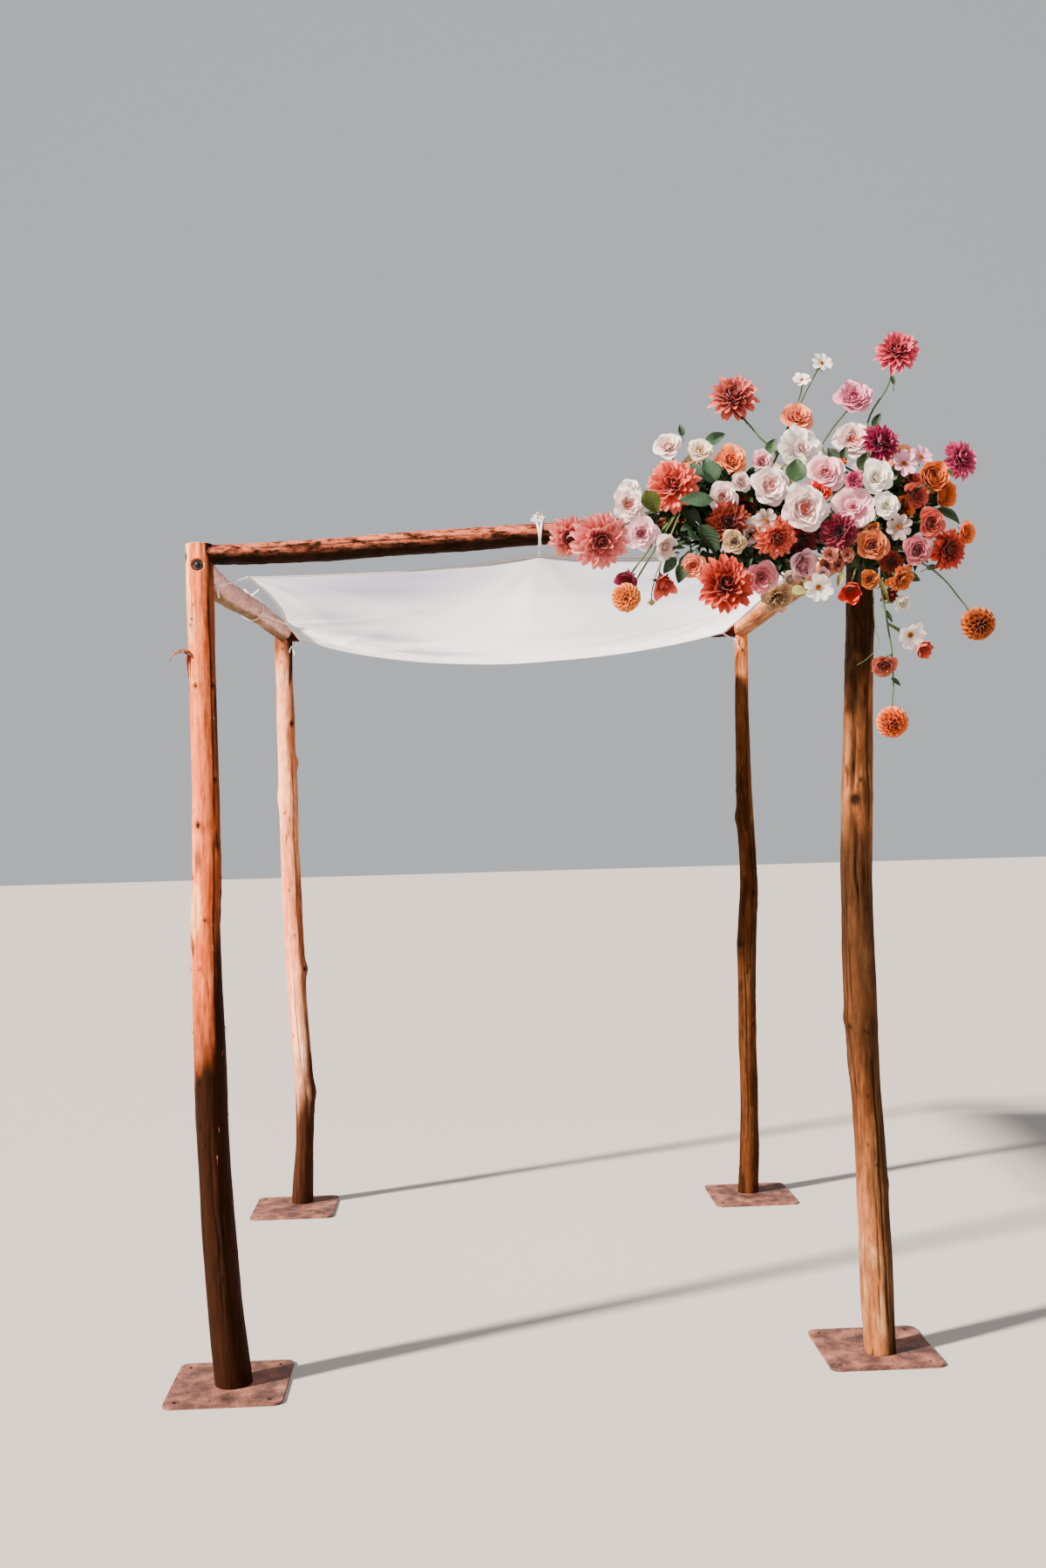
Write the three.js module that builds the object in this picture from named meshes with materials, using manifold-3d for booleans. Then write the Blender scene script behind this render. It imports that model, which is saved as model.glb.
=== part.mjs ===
// Chuppah canopy: four rough log posts on steel base plates, four log beams bolted across
// their tops, a cotton cloth hung between them on ties, and cut flowers on the front beam.
// Millimetres. +Z is up, +X is right as seen from the flowered front, +Y runs to the back.
import * as THREE from 'three';
import { mergeVertices } from 'three/addons/utils/BufferGeometryUtils.js';
import Module from 'manifold-3d';

const wasm = await Module();
wasm.setup();

// Driving dimensions
const GAP = 0.3;
const LOG_SIDES = 10;
const LOG_LUMP = 0.025;

const PLATE = { side: 330, thick: 8, corner: 25, pegHole: 9, pegInset: 34 };
const BOLT = { shank: 6, hole: 6.8, head: 11, headThick: 8, washer: 16, washerThick: 3, pocket: 20 };

// Posts. Rows run up the log: height, centre x, radius.
const POSTS = {
  front_left: {
    y: -972,
    plate: [-932, -969],
    rows: [[0, -922, 50], [250, -944, 48], [500, -957, 47], [750, -966, 45.5], [1000, -968, 44],
      [1300, -971, 43], [1450, -963, 40], [1700, -960, 38.5], [2000, -961, 38], [2250, -963, 39],
      [2400, -963, 37]],
  },
  front_right: {
    y: -931,
    plate: [943, -896],
    rows: [[0, 950, 46], [200, 946, 48], [600, 940, 45], [800, 929, 43.5], [1000, 922, 47],
      [1200, 919, 45], [1400, 921, 45], [1620, 928.5, 46], [1800, 936, 43], [2000, 946, 41],
      [2150, 954, 39], [2505, 963, 38]],
  },
  back_left: {
    y: 1000,
    plate: [-953, 925],
    rows: [[0, -931, 42], [250, -917, 36], [450, -909, 39], [650, -921, 37.5], [850, -932, 36],
      [1000, -937, 39], [1250, -944, 38.5], [1500, -946.5, 38], [1750, -949, 40], [1900, -952, 36],
      [2000, -951, 38], [2150, -953, 34], [2352, -953, 37]],
  },
  back_right: {
    y: 904,
    plate: [910, 865],
    rows: [[0, 909, 41], [200, 920, 38.5], [400, 925, 36], [600, 922, 34], [850, 927, 35],
      [1030, 931, 40], [1250, 947, 37], [1400, 945, 34], [1550, 939, 34.5], [1750, 936, 30.5],
      [2000, 938, 27], [2306, 945, 25]],
  },
};

// Beams. Stations run along the log: [x, y, z, radius].
const BEAMS = {
  front: [[-963, -972, 2371, 28], [-800, -962, 2374, 30], [-600, -956, 2381, 30],
    [-400, -951, 2394, 31], [-200, -947, 2404, 31.5], [0, -945, 2416, 29], [200, -942, 2426, 30],
    [550, -937, 2431, 30], [963, -931, 2433, 30]],
  left: [[-963, -972, 2342, 36], [-955, -880, 2318, 37.5], [-948, -740, 2307, 38],
    [-948, -450, 2318, 38], [-952, -150, 2335, 37], [-955, 60, 2348, 38], [-957, 380, 2360, 37],
    [-955, 700, 2366, 37.5], [-953, 1046, 2372, 37.5]],
  right: [[963, -931, 2380, 34], [952, -600, 2366, 34], [946, -300, 2358, 33.5],
    [944, 0, 2352, 34], [945, 300, 2348, 34], [946, 600, 2337, 34], [945, 962, 2328, 33]],
  back: [[-953, 985, 2360, 30], [-600, 972, 2352, 30], [-250, 960, 2346, 31],
    [100, 948, 2340, 30], [450, 936, 2336, 29.5], [945, 916, 2331, 29]],
};

// Bolts: where the washer seats, the way the shank points and how far it reaches.
const SEAT = 27;
const BOLTS = {
  front_left_beam_bolt: { seat: [-963 - SEAT, -972, 2366], way: [1, 0, 0], reach: 150 },
  front_left_side_bolt: { seat: [-963, -972 - SEAT, 2338], way: [0, 1, 0], reach: 130 },
  front_right_beam_bolt: { seat: [963 + SEAT, -931, 2433], way: [-1, 0, 0], reach: 150 },
  front_right_side_bolt: { seat: [963, -931 - SEAT, 2380], way: [0, 1, 0], reach: 150 },
  back_left_post_bolt: { seat: [-953, 1010, 2372 + SEAT], way: [0, 0, -1], reach: 150 },
  back_left_beam_bolt: { seat: [-953 - SEAT, 975, 2360], way: [1, 0, 0], reach: 140 },
  back_right_post_bolt: { seat: [945, 908, 2328 + SEAT - 2], way: [0, 0, -1], reach: 140 },
  back_right_beam_bolt: { seat: [945 + SEAT - 2, 925, 2326], way: [-1, 0, 0], reach: 130 },
};

// Cloth: corners, the low and high points of its edges, and how far its middle hangs.
const CLOTH = { thick: 3, steps: 12, belly: 45 };
const CLOTH_EDGES = {
  front: [[-845, -850, 2322], [-600, -862, 2323], [-350, -876, 2328], [-150, -893, 2342],
    [15, -903, 2361], [150, -894, 2353], [400, -876, 2349], [650, -862, 2349], [850, -850, 2350]],
  back: [[-872, 930, 2324], [-650, 890, 2263], [-390, 868, 2222], [-100, 858, 2205],
    [110, 856, 2210], [400, 860, 2231], [640, 858, 2264], [860, 840, 2306]],
  left: [[-845, -850, 2322], [-829, -500, 2320], [-826, -200, 2307], [-834, 50, 2290],
    [-838, 350, 2288], [-854, 650, 2300], [-872, 930, 2324]],
  right: [[850, -850, 2350], [838, -500, 2340], [836, -200, 2330], [848, 50, 2326],
    [842, 350, 2310], [846, 600, 2305], [860, 840, 2306]],
};

// Ties: the cloth point, the loop round a beam or the knot on a post, and the cord's radius.
const TIE = { cord: 2.5, knot: 7, slack: 3.6, rise: 24 };
const MIDDLE_TIES = {
  front_middle_tie: { cloth: [15, -903, 2361], loop: [15, -945, 2416.8], radius: 31, along: [1, 0, 0] },
  left_middle_tie: { cloth: [-834, 50, 2290], loop: [-955, 50, 2347.4], radius: 38.5, along: [0, 1, 0] },
  right_middle_tie: { cloth: [848, 50, 2326], loop: [944, 50, 2351.3], radius: 34.5, along: [0, 1, 0] },
};
const CORNER_TIES = {
  front_left_tie: { cloth: [-845, -850, 2322], knot: [-924, -942, 2286] },
  front_right_tie: { cloth: [850, -850, 2350], knot: [913, -913, 2338] },
  back_left_tie: { cloth: [-872, 930, 2324], knot: [-915, 970, 2304] },
  back_right_tie: { cloth: [860, 840, 2306], knot: [916, 885, 2284] },
};

// Foam holders that the flowers are pushed into: a wrapped brick and its straps.
const STRAP = 2.5;
const HOLDERS = {
  flower_holder_left: { low: [410, -994, 2464], high: [690, -884, 2536], round: 12 },
  flower_holder_right: { low: [912, -1048, 2300], high: [1012, -974, 2535], round: 12 },
};

// Flower heads as they line up from a point in front of the canopy. Each head is
// [x, z, radius] where its sight line crosses the plane SIGHT_PLANE, then its real depth y,
// and how thick it is beside its radius.
const EYE = new THREE.Vector3(-230, -5363, 1645);
const SIGHT_PLANE = -1000;
const FRONT = -1150;
const MIDDLE = -1085;
const INNER = -1030;
const REAR = -955;
const DOME = 0.5;
const ROUND = 0.85;
const DISC = 0.22;
const STEM = 3;

const SPRAYS = {
  left_tip_spray: {
    root: [410, -960, 2490],
    colour: 0xe08a72,
    heads: [[97, 2398, 52, MIDDLE, DOME], [187, 2386, 72, FRONT, DOME], [272, 2488, 45, INNER, ROUND],
      [275, 2532, 32, REAR, ROUND], [306, 2403, 49, INNER, ROUND], [375, 2365, 30, MIDDLE, ROUND]],
  },
  left_drop_spray: {
    root: [430, -994, 2490],
    colour: 0xd9663f,
    heads: [[261, 2273, 30, MIDDLE, ROUND], [257, 2220, 39, MIDDLE - 40, ROUND],
      [368, 2255, 38, MIDDLE, ROUND], [331, 2204, 12, MIDDLE, ROUND], [453, 2307, 36, MIDDLE, ROUND]],
  },
  low_dahlia_spray: {
    root: [560, -994, 2480],
    colour: 0xc65a4c,
    heads: [[545, 2252, 73, FRONT, DOME], [650, 2270, 48, MIDDLE, ROUND], [698, 2209, 46, FRONT, ROUND],
      [730, 2256, 30, MIDDLE + 10, ROUND], [774, 2303, 45, MIDDLE, ROUND], [815, 2238, 42, FRONT, DISC]],
  },
  left_crown_spray: {
    root: [480, -994, 2516],
    colour: 0xe6a48f,
    heads: [[402, 2541, 68, MIDDLE, DOME], [389, 2654, 40, INNER, ROUND], [486, 2639, 30, INNER, ROUND],
      [545, 2506, 43, MIDDLE, ROUND], [599, 2546, 25, MIDDLE, ROUND]],
  },
  tall_left_spray: {
    root: [590, -935, 2536],
    colour: 0xe79a86,
    heads: [[584, 2791, 62, REAR, DOME], [573, 2612, 45, INNER, ROUND], [661, 2606, 33, INNER, ROUND]],
  },
  centre_crown_spray: {
    root: [668, -930, 2536],
    colour: 0xf0e4d8,
    heads: [[776, 2640, 58, INNER, ROUND], [768, 2732, 42, REAR, ROUND], [844, 2887, 31, REAR, DISC],
      [784, 2840, 25, REAR, DISC]],
  },
  centre_face_spray: {
    root: [650, -994, 2500],
    colour: 0xe2a9a0,
    heads: [[683, 2534, 52, MIDDLE, ROUND], [782, 2467, 64, FRONT, ROUND], [669, 2435, 33, FRONT, DISC],
      [633, 2401, 42, MIDDLE, ROUND], [575, 2374, 34, FRONT, ROUND], [551, 2430, 52, INNER, DOME],
      [698, 2385, 55, FRONT + 20, DOME], [772, 2377, 45, MIDDLE, DOME]],
  },
  tall_right_spray: {
    root: [985, -1010, 2535],
    colour: 0xdd8f95,
    heads: [[1065, 2918, 56, REAR, DOME], [936, 2788, 50, REAR, DOME], [931, 2664, 54, REAR, ROUND]],
  },
  right_crown_spray: {
    root: [940, -1048, 2500],
    colour: 0xc7557a,
    heads: [[848, 2570, 53, MIDDLE, ROUND], [824, 2514, 33, MIDDLE, ROUND], [1009, 2654, 52, MIDDLE, DOME],
      [896, 2598, 16, MIDDLE, ROUND], [929, 2536, 28, FRONT + 30, DISC], [995, 2555, 48, FRONT, ROUND]],
  },
  right_wing_spray: {
    root: [1012, -1010, 2480],
    colour: 0xd96f86,
    heads: [[1239, 2601, 52, INNER, DOME], [1126, 2613, 28, INNER, DISC], [1073, 2588, 30, INNER, DISC],
      [1158, 2552, 42, MIDDLE, ROUND], [1190, 2500, 36, INNER, ROUND], [1116, 2487, 30, MIDDLE, ROUND]],
  },
  right_face_spray: {
    root: [985, -1048, 2440],
    colour: 0xe5b1a4,
    heads: [[925, 2469, 58, FRONT, ROUND], [1021, 2471, 38, FRONT, ROUND], [1076, 2464, 33, MIDDLE, ROUND],
      [1150, 2419, 42, FRONT, ROUND], [1252, 2387, 35, MIDDLE, ROUND], [1054, 2408, 38, FRONT, DISC],
      [981, 2405, 22, FRONT, ROUND]],
  },
  right_low_spray: {
    root: [970, -1048, 2350],
    colour: 0xb5473c,
    heads: [[880, 2398, 48, FRONT, DOME], [978, 2356, 43, FRONT, ROUND], [1195, 2340, 55, MIDDLE, DOME],
      [1109, 2339, 42, FRONT, ROUND], [1030, 2306, 32, MIDDLE - 20, ROUND], [1060, 2256, 40, FRONT, ROUND],
      [1027, 2212, 28, MIDDLE, ROUND]],
  },
  spray_rose_cluster: {
    root: [930, -1048, 2330],
    colour: 0xe8b98a,
    heads: [[853, 2332, 21, FRONT, ROUND], [903, 2330, 20, FRONT, ROUND], [842, 2302, 20, MIDDLE, ROUND],
      [876, 2300, 18, MIDDLE, ROUND], [830, 2278, 18, MIDDLE, ROUND], [910, 2222, 34, FRONT, ROUND],
      [967, 2258, 28, FRONT, ROUND]],
  },
  hanging_spray: {
    root: [990, -1048, 2316],
    colour: 0xc9663a,
    route: [[987, 2260], [1002, 2162], [1012, 2061], [1018, 1950], [1020, 1880]],
    heads: [[1080, 2094, 42, MIDDLE, DISC], [1117, 2052, 28, MIDDLE, ROUND],
      [1002, 2007, 36, MIDDLE - 30, ROUND], [1020, 1843, 43, MIDDLE, ROUND]],
  },
  side_drop_spray: {
    root: [1012, -1030, 2325],
    colour: 0xb8683c,
    route: [[1105, 2309], [1182, 2255], [1250, 2165]],
    heads: [[1280, 2123, 46, MIDDLE, ROUND]],
  },
  back_left_spray: {
    root: [550, -884, 2500],
    colour: 0xe8c0ae,
    heads: [[430, 2490, 44, -820, ROUND], [540, 2560, 50, -815, DOME], [640, 2480, 42, -815, ROUND],
      [720, 2560, 40, -840, ROUND], [500, 2430, 34, -800, ROUND]],
  },
  back_right_spray: {
    root: [992, -982, 2535],
    colour: 0xdc8c6e,
    heads: [[1060, 2600, 46, -850, ROUND], [1150, 2520, 44, -860, DOME], [960, 2560, 40, -830, ROUND],
      [1120, 2440, 36, -860, ROUND], [880, 2530, 42, -830, ROUND]],
  },
};

const X = new THREE.Vector3(1, 0, 0);
const Y = new THREE.Vector3(0, 1, 0);
const Z = new THREE.Vector3(0, 0, 1);
const vec = (list) => new THREE.Vector3(...list);

// A closed geometry as a solid, and a solid as a geometry.
function solidOf(geometry) {
  const bare = geometry.index ? geometry.toNonIndexed() : geometry.clone();
  bare.deleteAttribute('normal');
  bare.deleteAttribute('uv');
  const welded = mergeVertices(bare, 1e-3);
  return new wasm.Manifold(new wasm.Mesh({
    numProp: 3,
    vertProperties: new Float32Array(welded.attributes.position.array),
    triVerts: new Uint32Array(welded.index.array),
  }));
}

function geometryOf(solid) {
  const mesh = solid.getMesh();
  const geometry = new THREE.BufferGeometry();
  geometry.setAttribute('position', new THREE.BufferAttribute(mesh.vertProperties, 3));
  geometry.setIndex(new THREE.BufferAttribute(mesh.triVerts, 1));
  geometry.computeVertexNormals();
  return geometry;
}

function joined(solids) {
  return solids.reduce((whole, solid) => whole.add(solid));
}

function cutBy(solid, cutters) {
  return cutters.reduce((rest, cutter) => rest.subtract(cutter), solid);
}

// The biggest connected body of a solid that cuts may have left in pieces.
function mainBody(solid) {
  return solid.decompose().reduce((best, body) => (body.volume() > best.volume() ? body : best));
}

// A cylinder with its base at from, running a length along way.
function rod(from, way, length, radius, sides) {
  const geometry = new THREE.CylinderGeometry(radius, radius, length, sides);
  geometry.translate(0, length / 2, 0);
  geometry.applyQuaternion(new THREE.Quaternion().setFromUnitVectors(Y, way));
  geometry.translate(from.x, from.y, from.z);
  return solidOf(geometry);
}

function rodBetween(from, to, radius, sides) {
  const way = to.clone().sub(from);
  const length = way.length();
  return rod(from, way.normalize(), length, radius, sides);
}

function ball(centre, radius, across = 6, up = 4) {
  const geometry = new THREE.SphereGeometry(radius, across, up);
  geometry.translate(centre.x, centre.y, centre.z);
  return solidOf(geometry);
}

// A log through its stations, each a centre and a radius, with a slightly uneven section.
function logSolid(stations, axis, across, grow = 0) {
  const rows = stations.length - 1;
  const rise = new THREE.Vector3().crossVectors(across, axis);
  const geometry = new THREE.CylinderGeometry(1, 1, 1, LOG_SIDES, rows);
  const places = geometry.attributes.position;
  const place = new THREE.Vector3();
  for (let i = 0; i < places.count; i += 1) {
    const row = Math.round((places.getY(i) + 0.5) * rows);
    const [x, y, z, radius] = stations[row];
    const turn = Math.atan2(places.getZ(i), places.getX(i));
    const reach = radius * (1 + LOG_LUMP * Math.sin(3 * turn + 1.7 * row)) + grow;
    place.set(x, y, z)
      .addScaledVector(across, places.getX(i) * reach)
      .addScaledVector(rise, places.getZ(i) * reach);
    places.setXYZ(i, place.x, place.y, place.z);
  }
  return solidOf(geometry);
}

function postLog({ y, rows }, grow = 0) {
  const foot = PLATE.thick + GAP;
  const stations = rows.map(([z, x, radius]) => [x, y, Math.max(z, foot), radius]);
  return logSolid(stations, Z, X, grow);
}

function beamLog(name, grow = 0) {
  const alongX = name === 'front' || name === 'back';
  return logSolid(BEAMS[name], alongX ? X : Y, alongX ? Y : X, grow);
}

function boltSolid({ seat, way, reach }) {
  const at = vec(seat);
  const along = vec(way);
  const out = along.clone().negate();
  const head = at.clone().addScaledVector(out, BOLT.washerThick - 0.5);
  return joined([
    rod(head, out, BOLT.headThick, BOLT.head, 6),
    rod(at, out, BOLT.washerThick, BOLT.washer, 12),
    rod(head, along, reach + BOLT.washerThick, BOLT.shank, 8),
  ]);
}

// The room a bolt needs: a pocket for its washer and head, and a clear hole for its shank.
function boltRoom({ seat, way, reach }) {
  const along = vec(way);
  const seatAt = vec(seat).addScaledVector(along, GAP);
  return joined([
    rod(seatAt, along.clone().negate(), 60, BOLT.pocket, 12),
    rod(vec(seat), along, reach + 4, BOLT.hole, 8),
  ]);
}

function plateSolid([x, y]) {
  const half = PLATE.side / 2;
  const bend = half - PLATE.corner;
  const outline = new THREE.Shape();
  const corners = [[bend, bend, 0], [-bend, bend, 1], [-bend, -bend, 2], [bend, -bend, 3]];
  for (const [cx, cy, quarter] of corners) {
    const start = quarter * Math.PI / 2;
    outline.absarc(cx, cy, PLATE.corner, start, start + Math.PI / 2, false);
  }
  const peg = half - PLATE.pegInset;
  for (const [sx, sy] of [[1, 1], [-1, 1], [-1, -1], [1, -1]]) {
    const hole = new THREE.Path();
    hole.absarc(sx * peg, sy * peg, PLATE.pegHole, 0, Math.PI * 2, true);
    outline.holes.push(hole);
  }
  const geometry = new THREE.ExtrudeGeometry(outline, {
    depth: PLATE.thick, bevelEnabled: false, curveSegments: 3,
  });
  geometry.translate(x, y, 0);
  return solidOf(geometry);
}

// Cloth: a sheet between four edge curves, with its middle hanging lower.
const edgeCurves = Object.fromEntries(Object.entries(CLOTH_EDGES)
  .map(([side, points]) => [side, new THREE.CatmullRomCurve3(points.map(vec))]));

function clothPoint(u, v) {
  const { front, back, left, right } = edgeCurves;
  const place = new THREE.Vector3()
    .addScaledVector(front.getPoint(u), 1 - v)
    .addScaledVector(back.getPoint(u), v)
    .addScaledVector(left.getPoint(v), 1 - u)
    .addScaledVector(right.getPoint(v), u)
    .addScaledVector(front.getPoint(0), -(1 - u) * (1 - v))
    .addScaledVector(front.getPoint(1), -u * (1 - v))
    .addScaledVector(back.getPoint(0), -(1 - u) * v)
    .addScaledVector(back.getPoint(1), -u * v);
  place.z -= CLOTH.belly * Math.sin(Math.PI * u) * Math.sin(Math.PI * v);
  return place;
}

// The sheet as a closed solid; spread widens it all round and thickens it by twice as much.
function clothSolid(spread = 0) {
  const geometry = new THREE.BoxGeometry(1, 1, 1, CLOTH.steps, CLOTH.steps, 1);
  const places = geometry.attributes.position;
  for (let i = 0; i < places.count; i += 1) {
    const place = clothPoint(places.getX(i) + 0.5, places.getY(i) + 0.5);
    place.x += Math.sign(places.getX(i)) * (Math.abs(places.getX(i)) > 0.499 ? spread : 0);
    place.y += Math.sign(places.getY(i)) * (Math.abs(places.getY(i)) > 0.499 ? spread : 0);
    place.z += places.getZ(i) * (CLOTH.thick + 2 * spread);
    places.setXYZ(i, place.x, place.y, place.z);
  }
  return solidOf(geometry);
}

// A tie on a beam: a loop round the log, a knot on top with two tails, and the strand below.
function middleTie({ cloth, loop, radius, along }) {
  const centre = vec(loop);
  const axis = vec(along);
  const reach = radius + TIE.slack;
  const ring = new THREE.TorusGeometry(reach, TIE.cord, 5, 12);
  ring.applyQuaternion(new THREE.Quaternion().setFromUnitVectors(Z, axis));
  ring.translate(centre.x, centre.y, centre.z);
  const top = centre.clone().addScaledVector(Z, reach + 3);
  const end = vec(cloth);
  const toCloth = end.clone().sub(centre).setComponent(axis.x ? 0 : 1, 0).normalize();
  const leave = centre.clone().addScaledVector(toCloth, reach);
  const tails = [-1, 1].map((side) => top.clone()
    .addScaledVector(axis, side * TIE.rise)
    .addScaledVector(Z, TIE.rise));
  return joined([
    solidOf(ring),
    ball(top, TIE.knot),
    rodBetween(leave, end, TIE.cord, 5),
    ...tails.map((tail) => rodBetween(top, tail, TIE.cord, 5)),
  ]);
}

// A tie at a corner: a knot drawn up against the post and the strand to the cloth.
function cornerTie({ cloth, knot }) {
  return joined([ball(vec(knot), TIE.knot), rodBetween(vec(knot), vec(cloth), TIE.cord, 5)]);
}

function brick({ low, high, round }, grow = 0) {
  const size = vec(high).sub(vec(low));
  const shape = new THREE.Shape();
  const halfX = size.x / 2 + grow;
  const halfZ = size.z / 2 + grow;
  shape.moveTo(-halfX + round, -halfZ);
  shape.lineTo(halfX - round, -halfZ);
  shape.lineTo(halfX, -halfZ + round);
  shape.lineTo(halfX, halfZ - round);
  shape.lineTo(halfX - round, halfZ);
  shape.lineTo(-halfX + round, halfZ);
  shape.lineTo(-halfX, halfZ - round);
  shape.lineTo(-halfX, -halfZ + round);
  shape.closePath();
  const geometry = new THREE.ExtrudeGeometry(shape, { depth: size.y + 2 * grow, bevelEnabled: false });
  geometry.rotateX(Math.PI / 2);
  geometry.translate((low[0] + high[0]) / 2, high[1] + grow, (low[2] + high[2]) / 2);
  return solidOf(geometry);
}

// A strap ring round a log, which runs into the brick that it holds.
function strap(centre, axis, radius) {
  const ring = new THREE.TorusGeometry(radius, STRAP, 5, 12);
  ring.applyQuaternion(new THREE.Quaternion().setFromUnitVectors(Z, axis));
  ring.translate(...centre);
  return solidOf(ring);
}

const HOLDER_STRAPS = {
  flower_holder_left: [[460, -938, 2430], [640, -936, 2431]].map((at) => strap(at, X, 34.5)),
  flower_holder_right: [strap([957, -931, 2322], Z, 43), strap([963, -931, 2484], Z, 43)],
};

// A flower's real place and radius, slid along its sight line to its depth.
function seen(x, z, depth) {
  const share = (depth - EYE.y) / (SIGHT_PLANE - EYE.y);
  const place = new THREE.Vector3(x, SIGHT_PLANE, z).sub(EYE).multiplyScalar(share).add(EYE);
  return { place, share };
}

// A head: a rounded disc that is as thick as its kind, facing forward and out from its root.
function headSolid([x, z, radius, depth, thick], root, grow = 0) {
  const { place, share } = seen(x, z, depth);
  const geometry = new THREE.SphereGeometry(1, 7, 4);
  const reach = radius * share + grow;
  geometry.scale(reach, reach * thick + grow, reach);
  const face = place.clone().sub(vec(root)).multiplyScalar(0.5 / place.distanceTo(vec(root)));
  face.y += depth < REAR ? -1 : 1;
  geometry.applyQuaternion(new THREE.Quaternion().setFromUnitVectors(Y, face.normalize()));
  geometry.translate(place.x, place.y, place.z);
  return solidOf(geometry);
}

// Stems: from the root on the holder to each head, or down a hanging route and off it.
function stemSolids({ root, heads, route }, grow = 0) {
  const start = vec(root);
  const solids = [ball(start, 2 * STEM + grow)];
  const path = [start, ...(route || []).map(([x, z]) => seen(x, z, MIDDLE).place)];
  for (let i = 1; i < path.length; i += 1) {
    solids.push(rodBetween(path[i - 1], path[i], STEM + grow, 4), ball(path[i], STEM + grow + 1, 5, 3));
  }
  for (const [x, z, , depth] of heads) {
    const { place } = seen(x, z, depth);
    const from = path.reduce((best, point) => {
      const nearer = point.distanceTo(place) < best.distanceTo(place);
      return nearer && point.z >= place.z - 5 ? point : best;
    }, start);
    solids.push(rodBetween(from, place, STEM + grow, 4));
  }
  return solids;
}

// Every spray clears the frame, the holders, the cloth, the ties and the sprays before it.
function buildSprays(fixed) {
  const names = Object.keys(SPRAYS);
  const clear = 0.4;
  const grownStems = names.map((name) => joined(stemSolids(SPRAYS[name], clear)));
  const grownHeads = names.map((name) => joined(
    SPRAYS[name].heads.map((head) => headSolid(head, SPRAYS[name].root, clear)),
  ));
  return names.map((name, index) => {
    const spray = SPRAYS[name];
    const otherStems = grownStems.filter((_, other) => other !== index);
    const heads = spray.heads.map((head) => mainBody(
      cutBy(headSolid(head, spray.root), [...otherStems, ...grownHeads.slice(0, index)]),
    ));
    const stems = cutBy(joined(stemSolids(spray)), grownStems.slice(0, index));
    return [name, mainBody(cutBy(joined([stems, ...heads]), fixed))];
  });
}

const FINISHES = {
  front_left_post: [0xb9764f, 0.85, 0],
  front_right_post: [0xa8673f, 0.85, 0],
  back_left_post: [0xc27a5c, 0.85, 0],
  back_right_post: [0x8d6a45, 0.85, 0],
  front_beam: [0x8a4433, 0.9, 0],
  left_beam: [0xc4a295, 0.8, 0],
  right_beam: [0xcf9379, 0.8, 0],
  back_beam: [0x7d3b2e, 0.9, 0],
  plate: [0x7a4634, 0.8, 0.4],
  bolt: [0x3a3a3c, 0.5, 0.8],
  cloth: [0xe6e2ea, 0.9, 0],
  tie: [0xf2efe8, 0.9, 0],
  holder: [0x4c5a3a, 0.9, 0],
};

function nodeMesh(name, solid, finish) {
  const [color, roughness, metalness] = finish;
  const mesh = new THREE.Mesh(
    geometryOf(solid),
    new THREE.MeshStandardMaterial({ color, roughness, metalness }),
  );
  mesh.name = name;
  return mesh;
}

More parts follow.
